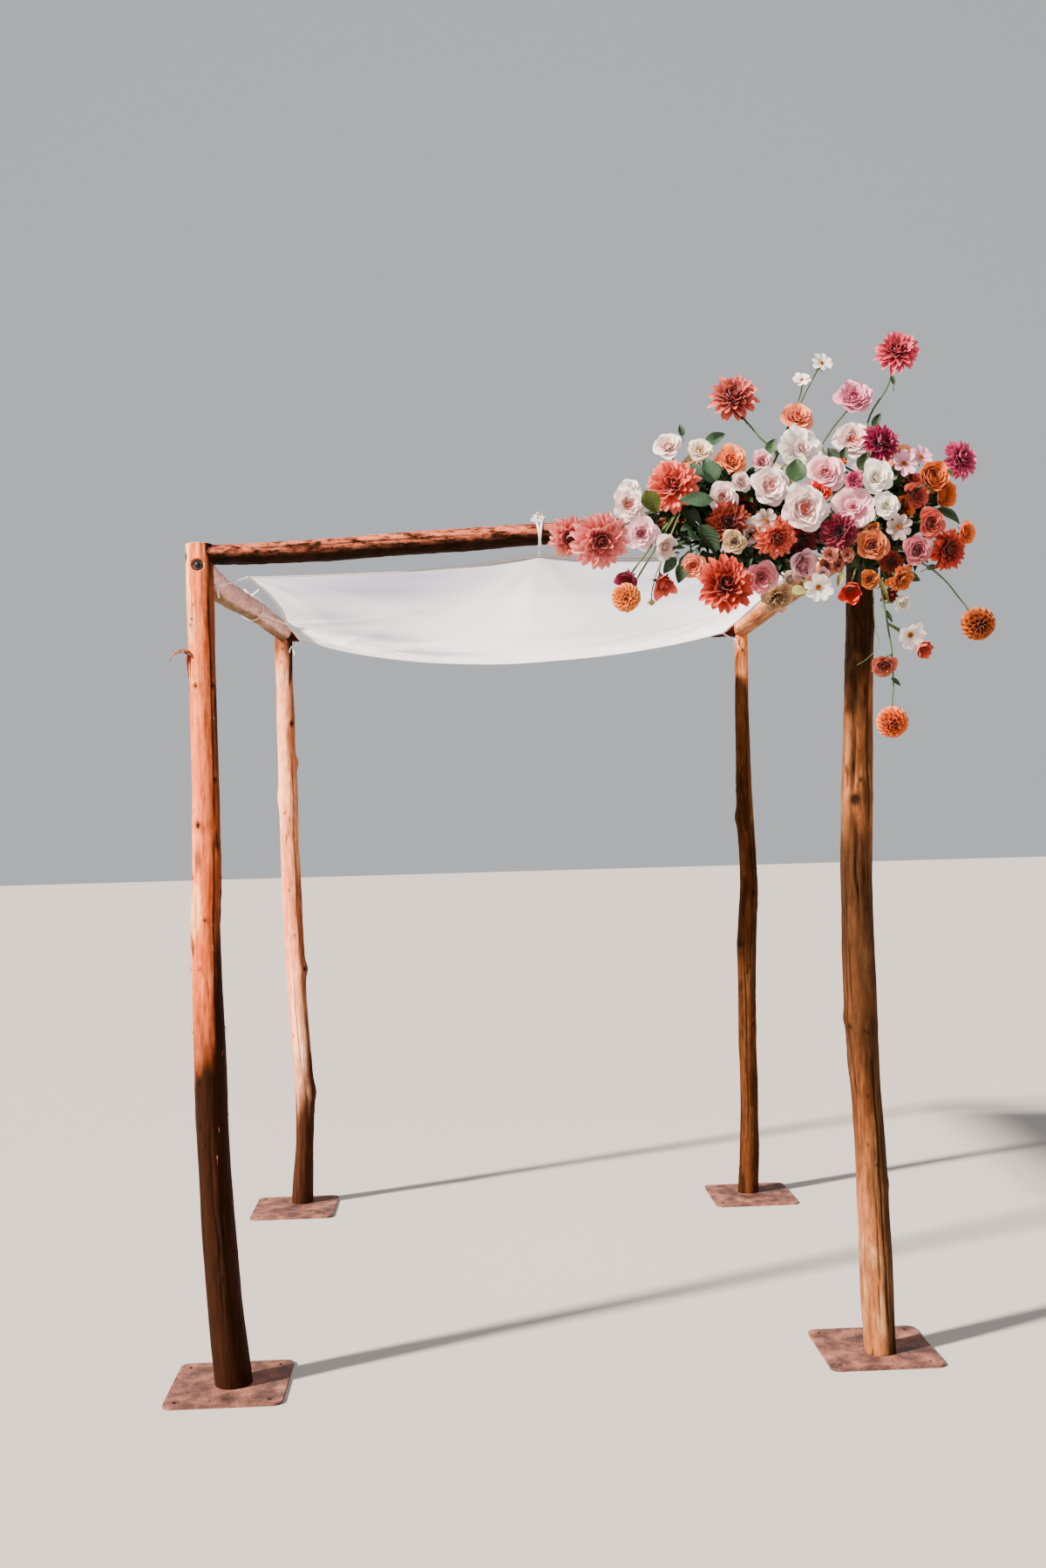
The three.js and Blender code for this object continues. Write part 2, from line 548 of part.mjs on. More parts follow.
function buildCanopy() {
  const canopy = new THREE.Group();
  const put = (name, solid, finish) => canopy.add(nodeMesh(name, solid, finish));
  const rooms = Object.values(BOLTS).map(boltRoom);
  const grownBeams = Object.fromEntries(Object.keys(BEAMS).map((name) => [name, beamLog(name, GAP)]));
  const grownPosts = Object.fromEntries(Object.entries(POSTS)
    .map(([name, post]) => [name, postLog(post, GAP)]));

  const saddles = {
    back_left: [grownBeams.left, grownBeams.back],
    back_right: [grownBeams.right, grownBeams.back],
  };
  const posts = Object.entries(POSTS).map(([name, post]) => (
    [`${name}_post`, mainBody(cutBy(postLog(post), [...(saddles[name] || []), ...rooms]))]));
  const beamEnds = {
    front: [grownPosts.front_left, grownPosts.front_right],
    left: [grownPosts.front_left, grownBeams.front],
    right: [grownPosts.front_right, grownBeams.front],
    back: [grownBeams.left, grownBeams.right],
  };
  const beams = Object.entries(beamEnds).map(([name, cutters]) => (
    [`${name}_beam`, mainBody(cutBy(beamLog(name), [...cutters, ...rooms]))]));
  posts.forEach(([name, solid]) => put(name, solid, FINISHES[name]));
  beams.forEach(([name, solid]) => put(name, solid, FINISHES[name]));

  Object.entries(POSTS).forEach(([name, { plate }]) => (
    put(`${name}_base_plate`, plateSolid(plate), FINISHES.plate)));
  const bolts = Object.entries(BOLTS).map(([name, bolt]) => [name, boltSolid(bolt)]);
  bolts.forEach(([name, solid]) => put(name, solid, FINISHES.bolt));

  put('canopy_cloth', clothSolid(), FINISHES.cloth);
  const grownLogs = [...Object.values(grownBeams), ...Object.values(grownPosts)];
  const around = [clothSolid(0.4), ...grownLogs];
  const ties = [
    ...Object.entries(MIDDLE_TIES).map(([name, tie]) => [name, middleTie(tie)]),
    ...Object.entries(CORNER_TIES).map(([name, tie]) => [name, cornerTie(tie)]),
  ].map(([name, solid]) => [name, mainBody(cutBy(solid, around))]);
  ties.forEach(([name, solid]) => put(name, solid, FINISHES.tie));

  const holders = Object.entries(HOLDERS).map(([name, holder]) => (
    [name, mainBody(cutBy(joined([brick(holder), ...HOLDER_STRAPS[name]]), grownLogs))]));
  holders.forEach(([name, solid]) => put(name, solid, FINISHES.holder));

  const fixed = [
    ...grownLogs,
    clothSolid(4),
    ...Object.values(HOLDERS).map((holder) => brick(holder, GAP)),
    ...Object.values(HOLDER_STRAPS).flat(),
    ...Object.values(BOLTS).map(boltSolid),
    ...ties.map(([, solid]) => solid),
  ];
  buildSprays(fixed).forEach(([name, solid]) => (
    put(name, solid, [SPRAYS[name].colour, 0.8, 0])));
  return canopy;
}

const canopy = buildCanopy();
const box = new THREE.Box3().setFromObject(canopy);
canopy.position.set(-(box.min.x + box.max.x) / 2, -(box.min.y + box.max.y) / 2, -box.min.z);
canopy.updateMatrixWorld(true);

export default canopy;
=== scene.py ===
"""The looks of a log chuppah canopy: rough logs, steel feet, hung cotton cloth and cut flowers."""
import math

import bpy
import numpy as np
from mathutils import Matrix, Vector


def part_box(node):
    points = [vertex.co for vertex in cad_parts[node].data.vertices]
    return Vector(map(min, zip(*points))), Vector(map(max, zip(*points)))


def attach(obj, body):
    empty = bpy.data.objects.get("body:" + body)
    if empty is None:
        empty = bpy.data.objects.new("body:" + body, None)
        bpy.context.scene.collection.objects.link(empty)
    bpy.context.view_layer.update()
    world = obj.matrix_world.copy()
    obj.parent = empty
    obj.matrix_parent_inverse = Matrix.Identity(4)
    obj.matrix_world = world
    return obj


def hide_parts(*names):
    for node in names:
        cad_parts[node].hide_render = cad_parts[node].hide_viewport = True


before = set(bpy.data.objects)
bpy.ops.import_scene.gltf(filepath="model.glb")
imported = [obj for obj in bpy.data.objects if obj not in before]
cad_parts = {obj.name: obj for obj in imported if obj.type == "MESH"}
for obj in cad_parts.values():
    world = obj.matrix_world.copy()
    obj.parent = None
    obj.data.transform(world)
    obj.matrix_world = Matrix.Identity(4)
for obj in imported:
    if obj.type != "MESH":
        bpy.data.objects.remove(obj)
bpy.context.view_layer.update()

# Places are in millimetres in the drawing's own frame. SHIFT moves them to the row's frame.
MM = 0.001
PLATE_CENTRE = (-932, -969)
plate_low, plate_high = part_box("front_left_base_plate")
SHIFT = np.array([
    (plate_low[0] + plate_high[0]) / 2 - PLATE_CENTRE[0] * MM,
    (plate_low[1] + plate_high[1]) / 2 - PLATE_CENTRE[1] * MM,
    0.0,
])
ORIGIN = np.zeros(3)
UP = np.array([0, 0, 1.0])
TURN = 2 * math.pi
GOLDEN = math.pi * (3 - math.sqrt(5))

# The camera's place, how it is turned, its lens and film in millimetres, and the upright plane that
# places in the picture are given in.
EYE = np.array([-230.5, -5363.0, 1645.0])
YAW, PITCH, ROLL = (math.radians(angle) for angle in (2.32, 0.61, -1.51))
LENS, SENSOR = 35, 36
SIGHT_PLANE = -1000


def camera():
    ahead = Vector((math.sin(YAW) * math.cos(PITCH), math.cos(YAW) * math.cos(PITCH), math.sin(PITCH)))
    level = Vector((math.cos(YAW), -math.sin(YAW), 0))
    above = level.cross(ahead)
    right = level * math.cos(ROLL) + above * math.sin(ROLL)
    up = above * math.cos(ROLL) - level * math.sin(ROLL)
    data = bpy.data.cameras.new("camera")
    data.lens = LENS
    data.sensor_width = SENSOR
    made = bpy.data.objects.new("camera", data)
    matrix = Matrix((right, up, -ahead)).transposed().to_4x4()
    matrix.translation = Vector(EYE * MM + SHIFT)
    made.matrix_world = matrix
    bpy.context.scene.collection.objects.link(made)
    bpy.context.scene.camera = made


# The noise's random values, the numbers that spread its cells over them, and the step between octaves.
CELLS = 4096
LATTICE = np.random.default_rng(11).random(CELLS) * 2 - 1
SPREAD = (73856093, 19349663, 83492791)
OCTAVE_STEP = 17.3


def noise(points, size, seed=0, octaves=3):
    """Smooth values from about -1 to 1 at points, with features about size wide."""
    points = np.asarray(points, float)
    total, weight, whole = np.zeros(points.shape[:-1]), 1.0, 0.0
    for octave in range(octaves):
        place = points / np.asarray(size, float) * 2 ** octave + OCTAVE_STEP * (seed + octave)
        cell = np.floor(place).astype(np.int64)
        part = place - cell
        part = part * part * (3 - 2 * part)
        for corner in range(8):
            step = np.array([corner & 1, corner >> 1 & 1, corner >> 2 & 1])
            x, y, z = np.moveaxis((cell + step) * SPREAD, -1, 0)
            share = np.where(step == 1, part, 1 - part).prod(axis=-1)
            total += weight * LATTICE[(x ^ y ^ z) % CELLS] * share
        whole += weight
        weight *= 0.5
    return 1.6 * total / whole


def smooth(low, high, value):
    share = np.clip((value - low) / (high - low), 0, 1)
    return share * share * (3 - 2 * share)


def unit(vectors):
    vectors = np.asarray(vectors, float)
    return vectors / np.maximum(np.linalg.norm(vectors, axis=-1, keepdims=True), 1e-9)


def wheel(turn, side, other):
    """The points at some angles on a circle of radius 1, from side towards other."""
    return np.cos(turn)[:, None] * side + np.sin(turn)[:, None] * other


def ring(count):
    """Even angles round a full turn."""
    return np.linspace(0, TURN, count, endpoint=False)


def apart(turn, angle):
    """How far turn is past angle, the short way round."""
    return (turn - angle + math.pi) % TURN - math.pi


def bezier(start, first, second, end, count):
    t = np.linspace(0, 1, count)[:, None]
    start, first, second, end = (np.asarray(point, float) for point in (start, first, second, end))
    return ((1 - t) ** 3 * start + 3 * (1 - t) ** 2 * t * first + 3 * (1 - t) * t ** 2 * second
            + t ** 3 * end)


def curve_through(points, share):
    """Places on the smooth curve through points, for shares of its length from 0 to 1."""
    points = np.array(points, float)
    padded = np.vstack([2 * points[0] - points[1], points, 2 * points[-1] - points[-2]])
    place = np.clip(share, 0, 1) * (len(points) - 1)
    cell = np.minimum(place.astype(int), len(points) - 2)
    t = (place - cell)[:, None]
    a, b, c, d = (padded[cell + step] for step in range(4))
    return 0.5 * (2 * b + (c - a) * t + (2 * a - 5 * b + 4 * c - d) * t ** 2
                  + (3 * b - a - 3 * c + d) * t ** 3)


def lathe(profile, place, way, sides):
    """A grid round an axis: profile is a list of radius and height along way."""
    way = unit(way)
    side = unit(np.cross(way, [0.3, 0.5, 0.81]))
    circle = wheel(np.linspace(0, TURN, sides + 1), side, np.cross(way, side))
    radius, height = np.array(profile, float).T[:, :, None, None]
    return np.array(place, float) + radius * circle + height * way


def tube(path, radius, sides=8, flat=1.0, side=None, closed=False):
    """A round or flat tube along a path, with its wide side held near the given direction."""
    path = np.asarray(path, float)
    if closed:
        way = unit(np.roll(path, -1, axis=0) - np.roll(path, 1, axis=0))
        path, way = np.vstack([path, path[:1]]), np.vstack([way, way[:1]])
    else:
        way = unit(np.gradient(path, axis=0))
    hint = np.asarray([0.31, 0.52, 0.8] if side is None else side, float)
    if closed and hint.ndim == 2:
        hint = np.vstack([hint, hint[:1]])
    hint = np.broadcast_to(hint, path.shape).copy()
    if side is None:
        for row in range(1, len(path)):
            hint[row] = unit(hint[row - 1] - way[row] * (hint[row - 1] @ way[row]))
    first = unit(hint - way * (hint * way).sum(axis=1, keepdims=True))
    second = np.cross(way, first)
    turn = np.linspace(0, TURN, sides + 1)[None, :, None]
    size = np.broadcast_to(np.asarray(radius, float), (len(path),))[:, None, None]
    return path[:, None] + size * (np.cos(turn) * first[:, None] + flat * np.sin(turn) * second[:, None])


# The power that makes the colours of woods and petals deeper, because they stand in strong light.
DEEPER = 1.7


def rgb(code):
    """A colour code such as b97a50 as linear red, green and blue."""
    parts = np.array([int(code[i:i + 2], 16) for i in (0, 2, 4)]) / 255
    return np.where(parts <= 0.04045, parts / 12.92, ((parts + 0.055) / 1.055) ** 2.4)


def rich(code):
    return rgb(code) ** DEEPER


def richer(code):
    return (*rich(code), 1.0)


def rgba(code):
    return (*rgb(code), 1.0)


def grey(value):
    return (value, value, value, 1.0)


def quads(index):
    """Four-sided faces between neighbours in grids of point numbers."""
    corners = [index[..., :-1, :-1], index[..., 1:, :-1], index[..., 1:, 1:], index[..., :-1, 1:]]
    return np.stack(corners, axis=-1).reshape(-1, 4)


def mesh_piece(name, points, faces, material, node, marks):
    """A mesh of four-sided faces in the row's frame that rides on the canopy. Marks are values or
    colours at its points, for its material."""
    mesh = bpy.data.meshes.new(name)
    points = np.asarray(points, float).reshape(-1, 3) * MM + SHIFT
    faces = np.asarray(faces, np.int32)
    mesh.vertices.add(len(points))
    mesh.vertices.foreach_set("co", points.astype(np.float32).ravel())
    mesh.loops.add(faces.size)
    mesh.loops.foreach_set("vertex_index", faces.ravel())
    mesh.polygons.add(len(faces))
    mesh.polygons.foreach_set("loop_start", np.arange(0, faces.size, 4, dtype=np.int32))
    mesh.update(calc_edges=True)
    mesh.polygons.foreach_set("use_smooth", np.full(len(faces), True))
    for key, values in marks.items():
        if values.ndim == 2:
            layer = mesh.attributes.new(key, "FLOAT_COLOR", "POINT")
            full = np.ones((len(values), 4), np.float32)
            full[:, :3] = values
            layer.data.foreach_set("color", full.ravel())
        else:
            layer = mesh.attributes.new(key, "FLOAT", "POINT")
            layer.data.foreach_set("value", values.astype(np.float32))
    mesh.materials.append(material)
    made = bpy.data.objects.new(name, mesh)
    bpy.context.scene.collection.objects.link(made)
    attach(made, "root")
    if node:
        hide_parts(node)
    return made


class Sheets:
    """Grids of points, each with a colour and a place on its leaf, kept for one mesh."""

    def __init__(self):
        self.points, self.faces, self.count = [], [], 0
        self.marks = {"tint": [], "along": [], "across": []}

    def add(self, grids, tint, veined=False):
        grids = np.asarray(grids, float)
        many, rows, cols = grids.shape[:3]
        flat = np.zeros((many, rows, cols))
        self.points.append(grids.reshape(-1, 3))
        self.faces.append(quads(self.count + np.arange(flat.size).reshape(flat.shape)))
        self.marks["tint"].append(np.broadcast_to(np.asarray(tint, float), grids.shape).reshape(-1, 3))
        self.marks["along"].append((flat + np.linspace(0, 1, rows)[:, None] * veined).ravel())
        self.marks["across"].append((flat + np.linspace(-1, 1, cols) * veined).ravel())
        self.count += flat.size

    def add_one(self, grid, tint=(1, 1, 1)):
        self.add(grid[None], tint)

    def piece(self, name, material, slot, node=None):
        marks = {key: np.concatenate(parts) for key, parts in self.marks.items()}
        points, faces = np.concatenate(self.points), np.concatenate(self.faces)
        return mesh_piece(name, points, faces, material, node, marks)


class Shader:
    """A material's node tree, with short ways to add its nodes."""

    def __init__(self, name):
        self.material = bpy.data.materials.new(name)
        self.material.use_nodes = True
        self.tree = self.material.node_tree
        self.surface = self.tree.nodes["Principled BSDF"]

    def node(self, kind, inputs=(), **settings):
        made = self.tree.nodes.new("ShaderNode" + kind)
        for key, value in settings.items():
            setattr(made, key, value)
        for key, value in dict(inputs).items():
            self.feed(made.inputs[key], value)
        return made

    def feed(self, socket, value):
        if isinstance(value, bpy.types.NodeSocket):
            self.tree.links.new(value, socket)
        else:
            socket.default_value = value

    def set(self, **values):
        for key, value in values.items():
            self.feed(self.surface.inputs[key.replace("_", " ")], value)

    def coords(self, stretch=(1, 1, 1)):
        place = self.node("TexCoord").outputs["Object"]
        return self.node("Mapping", {"Vector": place, "Scale": stretch}).outputs[0]

    def noise(self, coords, scale, detail=4.0, rough=0.55):
        return self.node("TexNoise", {
            "Vector": coords, "Scale": scale, "Detail": detail, "Roughness": rough,
        }).outputs[0]

    def ramp(self, value, stops):
        made = self.node("ValToRGB", {"Fac": value})
        band = made.color_ramp
        while len(band.elements) < len(stops):
            band.elements.new(0.5)
        for element, (place, colour) in zip(band.elements, stops):
            element.position = place
            element.color = colour
        return made.outputs[0]

    def tones(self, value, low, high, codes):
        """Deepened colours, from the last code at low to the first at high."""
        places = np.linspace(low, high, len(codes))
        return self.ramp(value, [(place, richer(code)) for place, code in zip(places, codes[::-1])])

    def mix(self, share, first, second, blend="MIX"):
        made = self.node("Mix", data_type="RGBA", blend_type=blend)
        for index, value in ((0, share), (6, first), (7, second)):
            self.feed(made.inputs[index], value)
        return made.outputs[2]

    def shaded(self, colour, value, *stops):
        """The colour times a grey that follows the value: stops are places and greys."""
        shade = self.ramp(value, [(place, grey(level)) for place, level in stops])
        return self.mix(1.0, colour, shade, "MULTIPLY")

    def math(self, kind, first, second=0.0):
        made = self.node("Math", operation=kind)
        self.feed(made.inputs[0], first)
        self.feed(made.inputs[1], second)
        return made.outputs[0]

    def total(self, *terms):
        """The sum of some values, each times its share."""
        first, *others = (self.math("MULTIPLY", value, share) for value, share in terms)
        for other in others:
            first = self.math("ADD", first, other)
        return first

    def mark(self, name, output="Fac"):
        return self.node("Attribute", attribute_name=name).outputs[output]

    def bump(self, height, depth, strength=1.0):
        made = self.node("Bump", {"Height": height, "Distance": depth, "Strength": strength})
        self.feed(self.surface.inputs["Normal"], made.outputs[0])

    def let_through(self, colour, share):
        """Lets a share of the light through, in the given colour."""
        glow = self.node("BsdfTranslucent", {"Color": colour})
        both = self.node("MixShader", {"Fac": share})
        self.feed(both.inputs[1], self.surface.outputs[0])
        self.feed(both.inputs[2], glow.outputs[0])
        self.feed(self.tree.nodes["Material Output"].inputs["Surface"], both.outputs[0])


# How grain and patches are stretched along each axis.
GRAIN = {"x": (0.06, 1, 1), "y": (1, 0.06, 1), "z": (1, 1, 0.06)}
PATCH = {"x": (0.3, 1, 1), "y": (1, 0.3, 1), "z": (1, 1, 0.3)}


def wood(name, axis, timber, skin, bark, stain_and_shade, most):
    """Log timber: grain along its axis, the coloured skin under the bark, bark, dark marks that paint
    shade in cracks and knot holes, stains with painted shade, and cut ends."""
    made = Shader(name)
    light, middle, dark = timber
    fibre = made.noise(made.coords(GRAIN[axis]), 150, 6, 0.62)
    streak = made.noise(made.coords(GRAIN[axis]), 34, 3, 0.5)
    patch = made.noise(made.coords(PATCH[axis]), 11, 5, 0.6)
    crumb = made.noise(made.coords(PATCH[axis]), 70, 6, 0.7)
    value = made.total((fibre, 0.34), (streak, 0.3), (patch, 0.36))
    colour = made.ramp(value, [(0.4, richer(dark)), (0.5, richer(middle)), (0.58, richer(light))])
    colour = made.mix(made.mark("skin"), colour, made.tones(value, 0.42, 0.56, skin))
    # The stain codes also paint shade: on the side turned from the key light, in shadows on the posts
    # and under the beams.
    stained_and_shaded = made.tones(value, 0.42, 0.58, stain_and_shade)
    share = made.math("MULTIPLY", made.mark("stain_and_shade"), most)
    colour = made.shaded(made.mix(share, colour, stained_and_shaded), crumb, (0.4, 0.72), (0.5, 0.97), (0.6, 1.1))
    bark_colour = made.mix(share, made.tones(crumb, 0.42, 0.58, bark), stained_and_shaded)
    colour = made.mix(made.mark("bark"), colour, bark_colour)
    cut = made.ramp(made.noise(made.coords(), 90, 3), [(0.35, rgba("8a5a3c")), (0.65, rgba("c99d74"))])
    colour = made.mix(made.mark("cut"), colour, cut)
    # Near black where marked: painted shade inside cracks and knot holes, and dark rings round bolt
    # pockets and spots on cut ends.
    colour = made.mix(made.mark("mark"), colour, rgba("120905"))
    made.set(Base_Color=colour, Roughness=0.8, Specular_IOR_Level=0.16, Specular_Tint=rgba("ffc890"))
    made.bump(made.total((fibre, 0.5), (crumb, made.mark("bark"))), 0.003, 0.8)
    return made.material


def loose_bark(name, colours):
    made = Shader(name)
    value = made.noise(made.coords(GRAIN["z"]), 150, 5, 0.6)
    made.set(Base_Color=made.tones(value, 0.4, 0.6, colours), Roughness=0.85)
    made.bump(value, 0.001, 0.6)
    return made.material


def rust():
    made = Shader("rusted_plate")
    broad = made.noise(made.coords(), 14, 6, 0.62)
    fine = made.noise(made.coords(), 130, 5, 0.7)
    value = made.total((broad, 0.65), (fine, 0.35))
    colour = made.ramp(value, [
        (0.34, rgba("2c1e1a")), (0.46, rgba("4e312a")), (0.55, rgba("794c3d")), (0.68, rgba("a8735a")),
    ])
    rough = made.ramp(value, [(0.35, grey(0.5)), (0.6, grey(0.85))])
    made.set(Base_Color=colour, Roughness=rough, Metallic=0.25)
    made.bump(fine, 0.0012, 0.8)
    return made.material


def steel():
    """Dark bolt heads on dull washers, in the tint of each."""
    made = Shader("dark_steel")
    value = made.noise(made.coords(), 160, 5, 0.65)
    colour = made.ramp(value, [(0.38, grey(0.75)), (0.56, grey(1.0)), (0.72, rgba("e8b08c"))])
    colour = made.mix(1.0, made.mark("tint", "Color"), colour, "MULTIPLY")
    rough = made.ramp(value, [(0.4, grey(0.35)), (0.65, grey(0.75))])
    made.set(Base_Color=colour, Roughness=rough, Metallic=0.7)
    made.bump(value, 0.0004, 0.6)
    return made.material


def cotton(name, light, dark, through, marked=False):
    """Woven cotton that lets some light through, with broad soft patches: random tone, except on the
    hung cloth, where they are painted shadows and pools of light.
    """
    made = Shader(name)
    warp, weft = (made.noise(made.coords(stretch), 900, 2, 0.4)
                  for stretch in ((1, 0.02, 1), (0.02, 1, 1)))
    thread = made.total((warp, 0.5), (weft, 0.5))
    tone_and_painted_shading = made.mark("tone_and_painted_shading") if marked else made.noise(made.coords(), 30, 3, 0.5)
    base = made.ramp(tone_and_painted_shading, [(0.2, rgba(dark)), (0.75, rgba(light))])
    base = made.shaded(base, thread, (0.35, 0.92), (0.65, 1.0))
    made.set(Base_Color=base, Roughness=0.9, Specular_IOR_Level=0.2, Sheen_Weight=0.25)
    made.bump(thread, 0.0004, 0.5)
    made.let_through(base, through)
    return made.material


def petal():
    """Petals in their own colours, with fine veins and some light through them."""
    made = Shader("petals")
    vein = made.noise(made.coords(), 420, 4, 0.6)
    base = made.shaded(made.mark("tint", "Color"), vein, (0.3, 0.84), (0.62, 1.0))
    made.set(Base_Color=base, Roughness=0.55, Specular_IOR_Level=0.35, Sheen_Weight=0.15)
    made.bump(vein, 0.0006, 0.4)
    made.let_through(base, 0.3)
    return made.material


def leafy():
    """Leaves and stems in their own colours; leaves have a midrib and side veins."""
    made = Shader("leaf_and_stem")
    across = made.math("ABSOLUTE", made.mark("across"))
    lines = made.total((made.mark("along"), 9.0), (across, -2.6))
    vein = made.ramp(made.math("PINGPONG", lines, 0.5), [(0.0, grey(1.0)), (0.16, grey(0.0))])
    spot = made.noise(made.coords(), 160, 4, 0.6)
    base = made.mix(made.math("MULTIPLY", vein, 0.25), made.mark("tint", "Color"), rgba("6c8450"))
    base = made.shaded(base, spot, (0.3, 0.72), (0.66, 1.0))
    made.set(Base_Color=base, Roughness=0.55, Specular_IOR_Level=0.2)
    made.bump(made.total((spot, 1.0), (vein, -0.5)), 0.0008, 0.5)
    return made.material


def foam():
    made = Shader("wet_foam")
    pores = made.node("TexVoronoi", {"Vector": made.coords(), "Scale": 420}).outputs["Distance"]
    base = made.mix(made.noise(made.coords(), 26, 4), rgba("17260f"), rgba("3d5426"))
    base = made.shaded(base, pores, (0.1, 0.45), (0.5, 1.0))
    made.set(Base_Color=base, Roughness=0.92, Specular_IOR_Level=0.2)
    made.bump(pores, 0.0015, 0.8)
    return made.material


# Logs. Posts are y and rows of height, centre x and radius; beams are their axis and stations of
# x, y, z and radius.
POSTS = {
    "front_left": (-972, [
        [8.3, -922, 50], [250, -944, 48], [500, -957, 47], [750, -966, 45.5], [1000, -968, 44],
        [1300, -971, 43], [1450, -963, 40], [1700, -960, 38.5], [2000, -961, 38], [2250, -963, 39],
        [2400, -963, 37]]),
    "front_right": (-931, [
        [8.3, 950, 46], [200, 946, 48], [600, 940, 45], [800, 929, 43.5], [1000, 922, 47],
        [1200, 919, 45], [1400, 921, 45], [1620, 928.5, 46], [1800, 936, 43], [2000, 946, 41],
        [2150, 954, 39], [2505, 963, 38]]),
    "back_left": (1000, [
        [8.3, -931, 42], [250, -917, 36], [450, -909, 39], [650, -921, 37.5], [850, -932, 36],
        [1000, -937, 39], [1250, -944, 38.5], [1500, -946.5, 38], [1750, -949, 40], [1900, -952, 36],
        [2000, -951, 38], [2150, -953, 34], [2352, -953, 37]]),
    "back_right": (904, [
        [8.3, 909, 41], [200, 920, 38.5], [400, 925, 36], [600, 922, 34], [850, 927, 35],
        [1030, 931, 40], [1250, 947, 37], [1400, 945, 34], [1550, 939, 34.5], [1750, 936, 30.5],
        [2000, 938, 27], [2306, 945, 25]]),
}
BEAMS = {
    "front": ("x", [
        [-950, -971, 2371, 28], [-800, -962, 2374, 30], [-600, -956, 2381, 30], [-400, -951, 2394, 31],
        [-200, -947, 2404, 31.5], [0, -945, 2416, 29], [200, -942, 2426, 30], [550, -937, 2431, 30],
        [950, -931, 2433, 30]]),
    "left": ("y", [
        [-962, -958, 2340, 36], [-955, -880, 2318, 37.5], [-948, -740, 2307, 38],
        [-948, -450, 2318, 38], [-952, -150, 2335, 37], [-955, 60, 2348, 38], [-957, 380, 2360, 37],
        [-955, 700, 2366, 37.5], [-953, 1046, 2372, 37.5]]),
    "right": ("y", [
        [962, -915, 2379, 34], [952, -600, 2366, 34], [946, -300, 2358, 33.5], [944, 0, 2352, 34],
        [945, 300, 2348, 34], [946, 600, 2337, 34], [945, 962, 2328, 33]]),
    "back": ("x", [
        [-945, 985, 2360, 30], [-600, 972, 2352, 30], [-250, 960, 2346, 31], [100, 948, 2340, 30],
        [450, 936, 2336, 29.5], [935, 916, 2331, 29]]),
}
